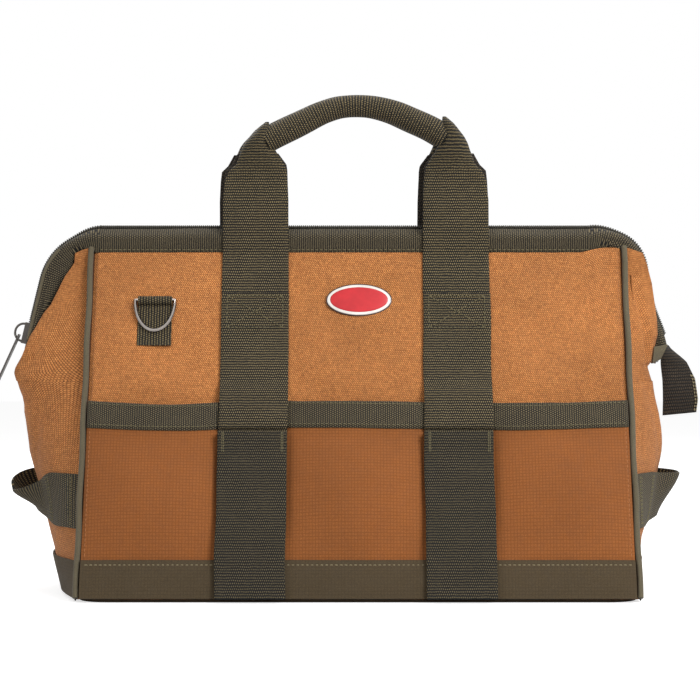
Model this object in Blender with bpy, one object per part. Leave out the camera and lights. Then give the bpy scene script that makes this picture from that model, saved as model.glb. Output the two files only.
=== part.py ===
"""Wide-mouth tool bag with a hinged rod frame in its mouth.

Units are metres. +Z is up, +X runs along the bag and -Y is its front. The origin is the middle
of the underside. Every cloth wall is a thin closed solid, and every piece is one object.
"""
import math

import bmesh
import bpy
from mathutils import Vector

# Clearances and cloth
GAP = 0.0003
SEAM_GAP = 0.0005
CLOTH_THICK = 0.0020
POCKET_THICK = 0.0015
WEB_THICK = 0.0020
BINDING_THICK = 0.0015

# Base
BAG_HALF_LENGTH = 0.198
BASE_HALF_DEPTH = 0.108
BASE_CORNER_RADIUS = 0.022
BASE_THICK = 0.0020
BOARD_THICK = 0.0030
BOARD_INSET = 0.0070
CORNER_STEPS = 6

# Walls
WALL_FOOT = 0.0034
RIM_HEIGHT = 0.260
BAR_OFFSET = 0.0066
WALL_LEAN = math.atan2(BASE_HALF_DEPTH - BAR_OFFSET, RIM_HEIGHT)
PIPING_RADIUS = 0.0024
PIPING_SIDES = 8
BOOT_TOP = 0.028

# Pockets
POCKET_TOP_DROP = 0.119
POCKET_TOP = RIM_HEIGHT - POCKET_TOP_DROP
POCKET_BINDING_DROP = 0.0194
POCKET_BULGE = 0.011
POCKET_MOUTH_STAND_OFF = 0.0085
POCKET_FULLNESS = 0.7
POCKET_COLUMNS = 10
POCKET_ROWS = 7

# Carrying straps
WEB_WIDTH = 0.050
LEFT_STRAP_X = -0.0755
RIGHT_STRAP_X = 0.0728
STRAP_TOP_DROP = 0.042
STRAP_SEWN_TOP = RIM_HEIGHT - STRAP_TOP_DROP
STRAP_STEP_LENGTH = 0.016
OVERLAY_TOP_DROP = 0.023
OVERLAY_TOP = POCKET_TOP - OVERLAY_TOP_DROP
BACK_STRAP_SHIFT = -0.0035

# Mouth frame
MOUTH_SHIFT = -0.010
ROD_RADIUS = 0.0030
ROD_SIDES = 12
BAR_INSET = 0.016
BAR_HALF_LENGTH = BAG_HALF_LENGTH - BAR_INSET
CORNER_RADIUS = 0.040
CORNER_TURN = math.radians(76.3)
PIN_DROP = 0.088
PIN_OUTSET = 0.0495
PIN_REACH = BAR_HALF_LENGTH + PIN_OUTSET
LUG_THICK = 0.0020
LUG_WIDTH = 0.0105
LUG_BEND_DROP = 0.0705
LUG_FORMED_DROP = 0.0745
RIVET_RADIUS = 0.0042
RIVET_HEIGHT = 0.0016
RIVET_SIDES = 16

# Binding round the rod
SLEEVE_RADIUS = ROD_RADIUS + GAP + BINDING_THICK
SLEEVE_LIP_RADIUS = 0.0015
SLEEVE_POINTS = 12
TOP_LIP_RISE = 0.0060
TOP_LIP_INSET = 0.0020
TOP_TAIL_DROP = 0.0095
LEG_LIP_RISE = 0.0030
LEG_TAIL_DROP = 0.0045
TAIL_BLEND_SHARE = 0.4
LEG_BINDING_END_DROP = 0.069
CORNER_STATIONS = 8
LEG_STATIONS = 3

# Zip
TAPE_THICK = 0.0010
TAPE_ROOT = 0.0026
CHAIN_THICK = 0.0018
CHAIN_HEIGHT = 0.0030
TOP_CHAIN_RISE = 0.0120
LEG_CHAIN_RISE = 0.0074
BACK_TAPE_END_DROP = 0.0625
FRONT_TAPE_END_DROP = 0.0790
RIGHT_TAPE_END_DROP = 0.0705
SLIDER_DROP = 0.072
SLIDER_LENGTH = 0.0160
SLIDER_PLATE = 0.0014
SLIDER_FLANGE = 0.0012
BAIL_WIRE_RADIUS = 0.0009
BAIL_LENGTH = 0.0150
BAIL_RISE = 0.0062
BAIL_STEPS = 12
PULL_HINGE_TURN = math.radians(30)
PULL_LENGTH = 0.040
PULL_WIDTH = 0.0080
PULL_THICK = 0.0012
PULL_SLOT_BEFORE = 0.0022
PULL_SLOT_AFTER = 0.0048
PULL_SLOT_WIDTH = 0.0044
PULL_BAR = 0.0016
PULL_HANG_ANGLE = math.radians(24.6)

# Ends and gussets
END_EDGE_INSET = 0.0045
END_TOP_DROP = 0.106
END_TOP = RIM_HEIGHT - END_TOP_DROP
GUSSET_FOOT = END_TOP + SEAM_GAP
END_HEIGHT_SHARES = (0.0, 0.18, 0.40, 0.65, 0.85, 1.0)
END_BOW_AT_FOOT = 0.009
END_REACH_AT_FOOT = BAG_HALF_LENGTH + END_BOW_AT_FOOT
END_BOW_AT_TOP = 0.0405
END_REACH_AT_TOP = BAG_HALF_LENGTH + END_BOW_AT_TOP
END_REACH_SHARES = (0.0, 0.36, 0.62, 0.90, 1.0, 1.0)
END_BOW_POWER = 1.9
END_PLACES = (0.0, 0.17, 0.34, 0.52, 0.68, 0.82, 0.94, 1.0)
END_UPPER_ROWS = 3
FOLD_POINT = 0.0135
FOLD_RISE_SHARE = 0.12
GUSSET_FACING = math.radians(53)
GUSSET_COLUMNS = 6
GUSSET_ROWS = 8

# Hammer loops
LOOP_WIDTH = 0.038
LOOP_MIDDLE_SHARE = 0.448
LOOP_MIDDLE_HEIGHT = END_TOP * LOOP_MIDDLE_SHARE
LOOP_STAND_OFF = 0.0140
LOOP_RISE_SHARE = 0.45

# Handles
HANDLE_LEG_RISE = 0.040
HANDLE_LEG_TOP = RIM_HEIGHT + HANDLE_LEG_RISE
HANDLE_RISE = 0.0583
HANDLE_CURL_SHARE = 0.975
HANDLE_CURL_END = math.radians(38)
HANDLE_CLEAR_RISE = 0.008
HANDLE_CLEAR_HEIGHT = RIM_HEIGHT + HANDLE_CLEAR_RISE
GRIP_OFFSET = WEB_WIDTH / math.tau + WEB_THICK / 2 + GAP
HANDLE_ARCH_STEPS = 24
HANDLE_ACROSS = 12

# Small front fittings
TAB_X = -0.149
TAB_WIDTH = 0.025
TAB_FOOT_DROP = 0.080
TAB_FOOT = RIM_HEIGHT - TAB_FOOT_DROP
RING_BAR_DROP = 0.0475
RING_BAR_HEIGHT = RIM_HEIGHT - RING_BAR_DROP
RING_WIDTH = 0.032
RING_DROP = 0.0264
RING_WIRE_RADIUS = 0.00135
TAB_WEB_THICK = 0.0012
TAB_ARC_STEPS = 10
RING_BOW_STEPS = 18
BADGE_X = 0.001
BADGE_DROP = 0.0465
BADGE_HEIGHT = RIM_HEIGHT - BADGE_DROP
BADGE_HALF_LENGTH = 0.02425
BADGE_HALF_WIDTH = 0.0128
BADGE_THICK = 0.0014
BADGE_EDGE = 0.0007
BADGE_SIDES = 32
END_TAB_WIDTH = 0.025
END_TAB_LENGTH = 0.047
END_TAB_THICK = 0.0030
END_TAB_LEAN = 0.0142
END_TAB_LEAN_SHARE = 0.5
END_TAB_TURN_SHARE = 0.6
END_TAB_STEPS = 8

FRONT = -1
BACK = 1
LEFT = -1
RIGHT = 1
SIDE_NAMES = {FRONT: "front", BACK: "back"}
HAND_NAMES = {LEFT: "left", RIGHT: "right"}


def clear_scene():
    for item in list(bpy.data.objects):
        bpy.data.objects.remove(item, do_unlink=True)


def material(name, color, roughness, metallic=0.0):
    made = bpy.data.materials.new(name)
    made.use_nodes = True
    shader = made.node_tree.nodes["Principled BSDF"]
    shader.inputs["Base Color"].default_value = (*color, 1.0)
    shader.inputs["Roughness"].default_value = roughness
    shader.inputs["Metallic"].default_value = metallic
    return made


def smooth_step(value):
    value = min(1.0, max(0.0, value))
    return value * value * (3 - 2 * value)


def mix(low, high, share):
    return low + (high - low) * share


def table_value(shares_in, shares_out, share):
    for index in range(len(shares_in) - 1):
        if share <= shares_in[index + 1]:
            span = shares_in[index + 1] - shares_in[index]
            local = (share - shares_in[index]) / span
            return mix(shares_out[index], shares_out[index + 1], local)
    return shares_out[-1]


# Mesh builders

def finish(mesh_tools, name, look, origin=None, round_piece=False):
    """Turn a bmesh into one named object, its origin moved to the given point."""
    bmesh.ops.recalc_face_normals(mesh_tools, faces=mesh_tools.faces)
    start = Vector(origin) if origin else Vector((0, 0, 0))
    bmesh.ops.translate(mesh_tools, verts=mesh_tools.verts, vec=-start)
    mesh = bpy.data.meshes.new(name)
    mesh_tools.to_mesh(mesh)
    mesh_tools.free()
    mesh.materials.append(look)
    if round_piece:
        mesh.shade_smooth()
        mesh.set_sharp_from_angle(angle=math.radians(40))
    made = bpy.data.objects.new(name, mesh)
    made.location = start
    bpy.context.scene.collection.objects.link(made)
    return made


def thick_sheet(name, look, columns, rows, place, origin=None):
    """A closed sheet. place(across, up, layer) gives a point of its inner or outer face."""
    tools = bmesh.new()
    layers = []
    for layer in (0, 1):
        grid = []
        for row in range(rows + 1):
            line = []
            for column in range(columns + 1):
                line.append(tools.verts.new(place(column / columns, row / rows, layer)))
            grid.append(line)
        layers.append(grid)
    for grid in layers:
        for row in range(rows):
            for column in range(columns):
                tools.faces.new((grid[row][column], grid[row][column + 1],
                                 grid[row + 1][column + 1], grid[row + 1][column]))
    inner, outer = layers
    for column in range(columns):
        for row in (0, rows):
            tools.faces.new((inner[row][column], inner[row][column + 1],
                             outer[row][column + 1], outer[row][column]))
    for row in range(rows):
        for column in (0, columns):
            tools.faces.new((inner[row][column], inner[row + 1][column],
                             outer[row + 1][column], outer[row][column]))
    return finish(tools, name, look, origin)


def loft(name, look, rings, origin=None, closed=False, round_piece=True):
    """A solid through a row of rings, capped at its ends or joined to its own start."""
    tools = bmesh.new()
    lines = [[tools.verts.new(point) for point in ring] for ring in rings]
    spans = len(lines) if closed else len(lines) - 1
    for index in range(spans):
        first = lines[index]
        second = lines[(index + 1) % len(lines)]
        count = len(first)
        for step in range(count):
            following = (step + 1) % count
            tools.faces.new((first[step], first[following], second[following], second[step]))
    if not closed:
        tools.faces.new(lines[0])
        tools.faces.new(lines[-1])
    return finish(tools, name, look, origin, round_piece)


def sleeve(name, look, outer_rings, inner_rings, origin=None):
    """A solid with a hole right through it, between matching outer and inner rings."""
    tools = bmesh.new()
    outer = [[tools.verts.new(point) for point in ring] for ring in outer_rings]
    inner = [[tools.verts.new(point) for point in ring] for ring in inner_rings]
    count = len(outer[0])
    for lines in (outer, inner):
        for index in range(len(lines) - 1):
            for step in range(count):
                following = (step + 1) % count
                tools.faces.new((lines[index][step], lines[index][following],
                                 lines[index + 1][following], lines[index + 1][step]))
    for end in (0, -1):
        for step in range(count):
            following = (step + 1) % count
            tools.faces.new((outer[end][step], outer[end][following],
                             inner[end][following], inner[end][step]))
    return finish(tools, name, look, origin, True)


def tube_rings(path, radius, sides, closed=False):
    """Rings of a round tube that follows a path in one plane or nearly so."""
    rings = []
    count = len(path)
    normal = None
    for index, point in enumerate(path):
        before = path[(index - 1) % count] if closed or index > 0 else point
        after = path[(index + 1) % count] if closed or index < count - 1 else point
        tangent = (after - before).normalized()
        if normal is None:
            helper = Vector((0, 1, 0)) if abs(tangent.y) < 0.9 else Vector((1, 0, 0))
            normal = tangent.cross(helper).normalized()
        normal = (normal - tangent * normal.dot(tangent)).normalized()
        side = tangent.cross(normal)
        ring = []
        for step in range(sides):
            angle = math.tau * step / sides
            ring.append(point + (normal * math.cos(angle) + side * math.sin(angle)) * radius)
        rings.append(ring)
    return rings


def hull_outline(circles, count):
    """Points round the outside of a few circles, each given as (across, up, radius)."""
    points = []
    for step in range(count):
        angle = math.tau * step / count
        across, up = math.cos(angle), math.sin(angle)
        best = max(circles, key=lambda item: item[0] * across + item[1] * up + item[2])
        points.append((best[0] + best[2] * across, best[1] + best[2] * up))
    return points


# Places on the bag

def wall_point(side, x, height, out):
    """A point by its height up the wall's face and its distance out from that face."""
    y = BASE_HALF_DEPTH - height * math.tan(WALL_LEAN) + out * math.cos(WALL_LEAN)
    return Vector((x, side * y, height + out * math.sin(WALL_LEAN)))


def strap_centre(side, hand):
    centre = LEFT_STRAP_X if hand == LEFT else RIGHT_STRAP_X
    return centre + (BACK_STRAP_SHIFT if side == BACK else 0)


def pocket_edges(side):
    """Where the pocket cloth is sewn down: the wall's two ends and both edges of each strap."""
    edges = [-wall_half_length()]
    for hand in (LEFT, RIGHT):
        for edge in (-1, 1):
            edges.append(strap_centre(side, hand) + edge * (WEB_WIDTH / 2 + SEAM_GAP))
    return edges + [wall_half_length()]


def pocket_columns(side):
    """Places along the wall: many across each pocket, none between a strap's edges."""
    edges = pocket_edges(side)
    columns = []
    for low, high in ((edges[0], edges[1]), (edges[2], edges[3]), (edges[4], edges[5])):
        columns += [mix(low, high, step / POCKET_COLUMNS) for step in range(POCKET_COLUMNS + 1)]
    return columns


def pocket_stand_off(side, x, height):
    """How far the pocket cloth stands off the wall: nothing at straps, sides and foot."""
    edges = pocket_edges(side)
    share = 0
    for low, high in ((edges[0], edges[1]), (edges[2], edges[3]), (edges[4], edges[5])):
        if low < x < high:
            share = math.sin(math.pi * (x - low) / (high - low)) ** POCKET_FULLNESS
    up = min(1.0, max(0.0, (height - BOOT_TOP) / (POCKET_TOP - BOOT_TOP)))
    belly = POCKET_BULGE * math.sin(math.pi * up)
    mouth = POCKET_MOUTH_STAND_OFF * smooth_step(up)
    return share * max(belly, mix(belly, mouth, smooth_step(up)))


def wall_half_length():
    return BAG_HALF_LENGTH - PIPING_RADIUS - GAP


def corner_centre_height():
    return RIM_HEIGHT - CORNER_RADIUS


def mouth_station(distance):
    """Reach, height and outward direction of the rod at a distance past its straight bar."""
    angle = min(distance / CORNER_RADIUS, CORNER_TURN)
    across, up = math.sin(angle), math.cos(angle)
    reach = BAR_HALF_LENGTH + CORNER_RADIUS * across
    height = corner_centre_height() + CORNER_RADIUS * up
    beyond = max(0.0, distance - CORNER_RADIUS * CORNER_TURN)
    return reach + beyond * up, height - beyond * across, across, up


def mouth_distance(drop):
    """Distance along the rod to a point of a leg at a drop below the bar."""
    corner_drop = CORNER_RADIUS * (1 - math.cos(CORNER_TURN))
    return CORNER_RADIUS * CORNER_TURN + (drop - corner_drop) / math.sin(CORNER_TURN)


def mouth_point(side, hand, station, rise, out):
    """A point beside the rod: rise away from the mouth's middle, out from the bag's middle."""
    reach, height, across, up = station
    return Vector((MOUTH_SHIFT + hand * (reach + across * rise),
                   side * (BAR_OFFSET + out), height + up * rise))


def corner_share(distance):
    return smooth_step(distance / (CORNER_RADIUS * CORNER_TURN * TAIL_BLEND_SHARE))


def tail_drop(distance):
    return mix(TOP_TAIL_DROP, LEG_TAIL_DROP, corner_share(distance))


def binding_section(distance):
    """Outline of the binding beside the rod, as (out, rise) pairs."""
    share = corner_share(distance)
    drop = tail_drop(distance)
    lean = TOP_TAIL_DROP * math.tan(WALL_LEAN) - CLOTH_THICK / 2 / math.cos(WALL_LEAN)
    lip = (mix(-TOP_LIP_INSET, 0, share), mix(TOP_LIP_RISE, LEG_LIP_RISE, share),
           SLEEVE_LIP_RADIUS)
    tail = (mix(lean, 0, share), -drop, SLEEVE_LIP_RADIUS)
    return hull_outline((lip, (0, 0, SLEEVE_RADIUS), tail), SLEEVE_POINTS)


def binding_inner_height(reach):
    """Height of the binding's lower edge, where the wall cloth stops below it."""
    past = max(0.0, reach - BAR_HALF_LENGTH)
    angle = math.asin(min(1.0, past / CORNER_RADIUS))
    radius = CORNER_RADIUS - tail_drop(angle * CORNER_RADIUS) - SLEEVE_LIP_RADIUS - SEAM_GAP
    return corner_centre_height() + math.sqrt(max(0.0, radius * radius - past * past))


def binding_inner_reach(height):
    """Reach of the binding's inner edge at a height beside the mouth."""
    radius = CORNER_RADIUS - LEG_TAIL_DROP - SLEEVE_LIP_RADIUS - SEAM_GAP
    turn_height = corner_centre_height() + radius * math.cos(CORNER_TURN)
    if height > turn_height:
        rise = min(height - corner_centre_height(), radius)
        return BAR_HALF_LENGTH + math.sqrt(radius * radius - rise * rise)
    reach = BAR_HALF_LENGTH + radius * math.sin(CORNER_TURN)
    return reach + (turn_height - height) / math.tan(CORNER_TURN)


def end_reach(hand, height):
    """Reach of the bag's end at its middle, from the mouth's own middle line."""
    share = height / END_TOP
    reach_share = table_value(END_HEIGHT_SHARES, END_REACH_SHARES, share)
    return mix(END_REACH_AT_FOOT, END_REACH_AT_TOP, reach_share)


def end_point(hand, across, height, out):
    """A point of an end wall. across runs from -1 at the front piping to 1 at the back."""
    half = BASE_HALF_DEPTH - END_EDGE_INSET - height * math.tan(WALL_LEAN)
    edge = BAG_HALF_LENGTH
    middle = hand * MOUTH_SHIFT + end_reach(hand, height)
    reach = mix(edge, middle, 1 - abs(across) ** END_BOW_POWER)
    return Vector((hand * (reach + out), across * half, height))


# Base

def rounded_plate(name, look, half_length, half_depth, radius, low, thick):
    outline = []
    for quarter in range(4):
        sign_x = 1 if quarter in (0, 3) else -1
        sign_y = 1 if quarter in (0, 1) else -1
        for step in range(CORNER_STEPS + 1):
            angle = math.pi / 2 * (quarter + step / CORNER_STEPS)
            outline.append((sign_x * (half_length - radius) + radius * math.cos(angle),
                            sign_y * (half_depth - radius) + radius * math.sin(angle)))
    rings = [[Vector((x, y, z)) for x, y in outline] for z in (low, low + thick)]
    return loft(name, look, rings, round_piece=False)


def build_base(looks):
    half_depth = BASE_HALF_DEPTH - CLOTH_THICK
    rounded_plate("base_panel", looks["boot"], BAG_HALF_LENGTH, half_depth,
                  BASE_CORNER_RADIUS, 0, BASE_THICK)
    rounded_plate("base_board", looks["board"], BAG_HALF_LENGTH - BOARD_INSET,
                  half_depth - BOARD_INSET, BASE_CORNER_RADIUS - BOARD_INSET,
                  BASE_THICK + GAP, BOARD_THICK)


# End walls

def end_places():
    """Places across an end wall, closer together near the seams."""
    return [-place for place in reversed(END_PLACES[1:])] + list(END_PLACES)


def end_heights():
    """Heights of an end wall's rows, which the boot's and the loop's edges share."""
    low = LOOP_MIDDLE_HEIGHT - LOOP_WIDTH / 2
    high = LOOP_MIDDLE_HEIGHT + LOOP_WIDTH / 2
    upper = [mix(high, END_TOP, (step + 1) / END_UPPER_ROWS) for step in range(END_UPPER_ROWS)]
    return [BASE_THICK + GAP, BOOT_TOP, low, high] + upper


def build_end(hand, looks):
    name = HAND_NAMES[hand]
    places = end_places()
    columns = len(places) - 1
    heights = end_heights()
    rows = len(heights) - 1
    loop_end = END_PLACES[-2]

    def wall(across, up, layer):
        return end_point(hand, places[round(across * columns)], heights[round(up * rows)],
                         (layer - 1) * CLOTH_THICK)

    def boot(across, up, layer):
        return end_point(hand, places[round(across * columns)], heights[round(up)],
                         GAP + layer * POCKET_THICK)

    def loop(across, up, layer):
        share = places[1 + round(across * (columns - 2))]
        rise = smooth_step((loop_end - abs(share)) / LOOP_RISE_SHARE)
        out = GAP + LOOP_STAND_OFF * rise + layer * WEB_THICK
        return end_point(hand, share, heights[2 + round(up)], out)

    thick_sheet(f"{name}_end_panel", looks["canvas"], columns, rows, wall)
    thick_sheet(f"{name}_end_boot", looks["boot"], columns, 1, boot)
    thick_sheet(f"{name}_hammer_loop", looks["web"], columns - 2, 1, loop)


# Front and back walls

def build_wall(side, looks):
    name = SIDE_NAMES[side]
    places = pocket_columns(side)
    columns = len(places) - 1

    def panel(across, up, layer):
        x = places[round(across * columns)]
        top = binding_inner_height(abs(x - MOUTH_SHIFT))
        return wall_point(side, x, mix(WALL_FOOT, top, up), (layer - 1) * CLOTH_THICK)

    binding_foot = POCKET_TOP - POCKET_BINDING_DROP
    heights = [WALL_FOOT]
    heights += [mix(BOOT_TOP, binding_foot, step / POCKET_ROWS) for step in range(POCKET_ROWS)]
    heights += [mix(binding_foot, POCKET_TOP, step / 2) for step in range(3)]
    pocket_rows = len(heights) - 1

    def pocket(across, up, layer):
        x = places[round(across * columns)]
        height = heights[round(up * pocket_rows)]
        out = GAP + pocket_stand_off(side, x, height) + layer * POCKET_THICK
        return wall_point(side, x, height, out)

    def binding(across, up, layer):
        x = places[round(across * columns)]
        height = mix(POCKET_TOP - POCKET_BINDING_DROP, POCKET_TOP, up)
        out = 2 * GAP + POCKET_THICK + pocket_stand_off(side, x, height)
        return wall_point(side, x, height, out + layer * BINDING_THICK)

    def boot(across, up, layer):
        x = places[round(across * columns)]
        out = 2 * GAP + POCKET_THICK + layer * BINDING_THICK
        return wall_point(side, x, mix(WALL_FOOT, BOOT_TOP, up), out)

    thick_sheet(f"{name}_panel", looks["canvas"], columns, 1, panel)
    thick_sheet(f"{name}_pocket", looks["ripstop"], columns, pocket_rows, pocket)
    thick_sheet(f"{name}_pocket_binding", looks["web"], columns, 2, binding)
    thick_sheet(f"{name}_boot", looks["boot"], columns, 1, boot)
    for hand in (LEFT, RIGHT):
        build_piping(side, hand, looks)
        build_strap(side, hand, looks)


def build_piping(side, hand, looks):
    reach = abs(hand * BAG_HALF_LENGTH - MOUTH_SHIFT)
    top = binding_inner_height(reach + PIPING_RADIUS) - PIPING_RADIUS
    out = -CLOTH_THICK / 2
    foot = WALL_FOOT + PIPING_RADIUS
    path = [wall_point(side, hand * BAG_HALF_LENGTH, mix(foot, top, share), out)
            for share in (0, 1)]
    name = f"{SIDE_NAMES[side]}_{HAND_NAMES[hand]}_piping"
    loft(name, looks["web"], tube_rings(path, PIPING_RADIUS, PIPING_SIDES))


def strap_base(height):
    """Distance out from the wall at which the sewn strap lies: over the pocket, then down."""
    over = 3 * GAP + POCKET_THICK + BINDING_THICK
    share = smooth_step((height - POCKET_TOP - 4 * GAP) / STRAP_STEP_LENGTH)
    return mix(over, GAP, share)


def build_strap(side, hand, looks):
    centre = strap_centre(side, hand)
    name = f"{SIDE_NAMES[side]}_{HAND_NAMES[hand]}_strap"
    step_top = POCKET_TOP + STRAP_STEP_LENGTH + 4 * GAP
    heights = [WALL_FOOT, POCKET_TOP + 2 * GAP]
    heights += [mix(POCKET_TOP + 4 * GAP, step_top, step / 5) for step in range(1, 6)]
    heights.append(STRAP_SEWN_TOP)

    def strap(across, up, layer):
        height = heights[round(up * (len(heights) - 1))]
        x = centre + (across - 0.5) * WEB_WIDTH
        return wall_point(side, x, height, strap_base(height) + layer * WEB_THICK)

    def overlay(across, up, layer):
        height = mix(WALL_FOOT, OVERLAY_TOP, up)
        x = centre + (across - 0.5) * WEB_WIDTH
        out = strap_base(height) + WEB_THICK + GAP + layer * WEB_THICK
        return wall_point(side, x, height, out)

    thick_sheet(name, looks["web"], 1, len(heights) - 1, strap)
    thick_sheet(f"{name}_overlay", looks["web"], 1, 1, overlay)


def build_gusset(side, hand, looks):
    """The upper end cloth, from the piping to the binding on the frame's leg."""
    piping_reach = BAG_HALF_LENGTH - hand * MOUTH_SHIFT
    top = binding_inner_height(piping_reach + PIPING_RADIUS) - PIPING_RADIUS
    leg_end = RIM_HEIGHT - LEG_BINDING_END_DROP
    inner_y = BAR_OFFSET + SLEEVE_RADIUS + GAP
    fold = FOLD_POINT if hand == LEFT else 0
    depth_thick = CLOTH_THICK * math.sin(GUSSET_FACING)
    reach_thick = CLOTH_THICK * math.cos(GUSSET_FACING)
    piping_reach += PIPING_RADIUS + SEAM_GAP + reach_thick

    def inner_reach(height):
        if height >= leg_end:
            return binding_inner_reach(height)
        share = (height - GUSSET_FOOT) / (leg_end - GUSSET_FOOT)
        point = fold * (1 - share) * min(1, share / FOLD_RISE_SHARE)
        return mix(end_reach(hand, END_TOP), binding_inner_reach(leg_end), share) + point

    def place(across, up, layer):
        height = mix(GUSSET_FOOT, top, up)
        edge_y = BASE_HALF_DEPTH - height * math.tan(WALL_LEAN) - END_EDGE_INSET
        edge_y = max(edge_y, inner_y) + depth_thick
        y = mix(inner_y + depth_thick, edge_y, across)
        foot_bow = (y / edge_y) ** END_BOW_POWER
        risen = smooth_step((height - GUSSET_FOOT) / (leg_end - GUSSET_FOOT))
        bow = mix(foot_bow, across ** END_BOW_POWER, risen)
        reach = mix(inner_reach(height), piping_reach, bow)
        reach = max(reach, piping_reach) - (1 - layer) * reach_thick
        return Vector((MOUTH_SHIFT + hand * reach, side * (y - (1 - layer) * depth_thick),
                       height))

    name = f"{SIDE_NAMES[side]}_{HAND_NAMES[hand]}_gusset"
    thick_sheet(name, looks["canvas"], GUSSET_COLUMNS, GUSSET_ROWS, place)


# Mouth: bindings, rods and zip

def chain_rise(distance):
    return mix(TOP_CHAIN_RISE, LEG_CHAIN_RISE, corner_share(distance))


def tape_section(distance):
    """Outline of one zip tape with its row of coils, as (out, rise) pairs."""
    rise = chain_rise(distance)
    face = GAP - BAR_OFFSET
    shoulder = rise - CHAIN_HEIGHT
    return [(face, TAPE_ROOT), (face + TAPE_THICK, TAPE_ROOT), (face + TAPE_THICK, shoulder),
            (face + CHAIN_THICK, shoulder), (face + CHAIN_THICK, rise), (face, rise)]


def straight_station(x):
    """A station of the straight bar, at a place measured from the mouth's middle."""
    return x, RIM_HEIGHT, 0.0, 1.0


def section_ring(side, hand, station, section):
    return [mouth_point(side, hand, station, rise, out) for out, rise in section]


def bore_ring(side, hand, station):
    circle = hull_outline(((0, 0, ROD_RADIUS + GAP),), SLEEVE_POINTS)
    return section_ring(side, hand, station, circle)


def build_mouth_top(side, looks):
    name = SIDE_NAMES[side]
    ends = [straight_station(x) for x in (-BAR_HALF_LENGTH, BAR_HALF_LENGTH)]
    outer = [section_ring(side, RIGHT, station, binding_section(0)) for station in ends]
    inner = [bore_ring(side, RIGHT, station) for station in ends]
    sleeve(f"{name}_top_binding", looks["web"], outer, inner)
    tape = [section_ring(side, RIGHT, station, tape_section(0)) for station in ends]
    loft(f"{name}_zip_tape", looks["zip"], tape, round_piece=False)


def leg_distances(end_drop):
    corner = CORNER_RADIUS * CORNER_TURN
    distances = [mix(SEAM_GAP, corner, step / CORNER_STATIONS)
                 for step in range(CORNER_STATIONS + 1)]
    end = mouth_distance(end_drop)
    distances += [mix(corner, end, step / LEG_STATIONS) for step in range(1, LEG_STATIONS + 1)]
    return distances


def build_mouth_leg(side, hand, looks):
    name = f"{SIDE_NAMES[side]}_{HAND_NAMES[hand]}_leg"
    outer, inner = [], []
    for distance in leg_distances(LEG_BINDING_END_DROP):
        station = mouth_station(distance)
        outer.append(section_ring(side, hand, station, binding_section(distance)))
        inner.append(bore_ring(side, hand, station))
    sleeve(f"{name}_binding", looks["web"], outer, inner)
    end_drop = RIGHT_TAPE_END_DROP
    if hand == LEFT:
        end_drop = FRONT_TAPE_END_DROP if side == FRONT else BACK_TAPE_END_DROP
    tape = []
    for distance in leg_distances(end_drop):
        tape.append(section_ring(side, hand, mouth_station(distance), tape_section(distance)))
    loft(f"{name}_zip_tape", looks["zip"], tape, round_piece=False)


def blade_ring(side, x, y, z, half_x, half_across, lean):
    """One ring of the rod or its flattened end, turned to the blade's own lean."""
    ring = []
    for step in range(ROD_SIDES):
        angle = math.tau * step / ROD_SIDES
        across = math.sin(angle) * half_across
        ring.append(Vector((x + math.cos(angle) * half_x,
                            side * (y + across * math.cos(lean)),
                            z + across * math.sin(lean))))
    return ring


def rod_ring(side, hand, distance):
    station = mouth_station(distance)
    circle = hull_outline(((0, 0, ROD_RADIUS),), ROD_SIDES)
    ring = section_ring(side, hand, station, [(out, rise) for rise, out in circle])
    return ring


def lug_reach(side):
    offset = (LUG_THICK + GAP) / 2
    return PIN_REACH + (offset if side == FRONT else -offset)


def leg_rings(side, hand):
    """Rings from the bar's end round the corner and down to the rounded lug."""
    rings = []
    straight_end = mouth_distance(LUG_BEND_DROP)
    corner = CORNER_RADIUS * CORNER_TURN
    for step in range(CORNER_STATIONS + 1):
        rings.append(rod_ring(side, hand, corner * step / CORNER_STATIONS))
    rings.append(rod_ring(side, hand, straight_end))
    reach = lug_reach(side)
    tip_length = LUG_WIDTH / 2
    lean = math.atan2(BAR_OFFSET, PIN_DROP - LUG_BEND_DROP)
    for drop in (LUG_FORMED_DROP, PIN_DROP):
        share = (drop - LUG_BEND_DROP) / (PIN_DROP - LUG_BEND_DROP)
        rings.append(blade_ring(side, MOUTH_SHIFT + hand * reach, mix(BAR_OFFSET, 0, share),
                                RIM_HEIGHT - drop, hand * LUG_THICK / 2,
                                LUG_WIDTH / 2, -lean))
    for turn in (30, 60, 80):
        angle = math.radians(turn)
        ahead = tip_length * math.sin(angle)
        rings.append(blade_ring(side, MOUTH_SHIFT + hand * reach, -ahead * math.sin(lean),
                                RIM_HEIGHT - PIN_DROP - ahead * math.cos(lean),
                                hand * LUG_THICK / 2, tip_length * math.cos(angle), -lean))
    return rings


def build_frame(side, looks):
    name = SIDE_NAMES[side]
    rings = list(reversed(leg_rings(side, LEFT))) + leg_rings(side, RIGHT)
    axis = (MOUTH_SHIFT, side * BAR_OFFSET, RIM_HEIGHT)
    loft(f"{name}_frame", looks["steel"], rings, axis)
    for hand in (LEFT, RIGHT):
        build_mouth_leg(side, hand, looks)
        build_rivet(side, hand, looks)


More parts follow.
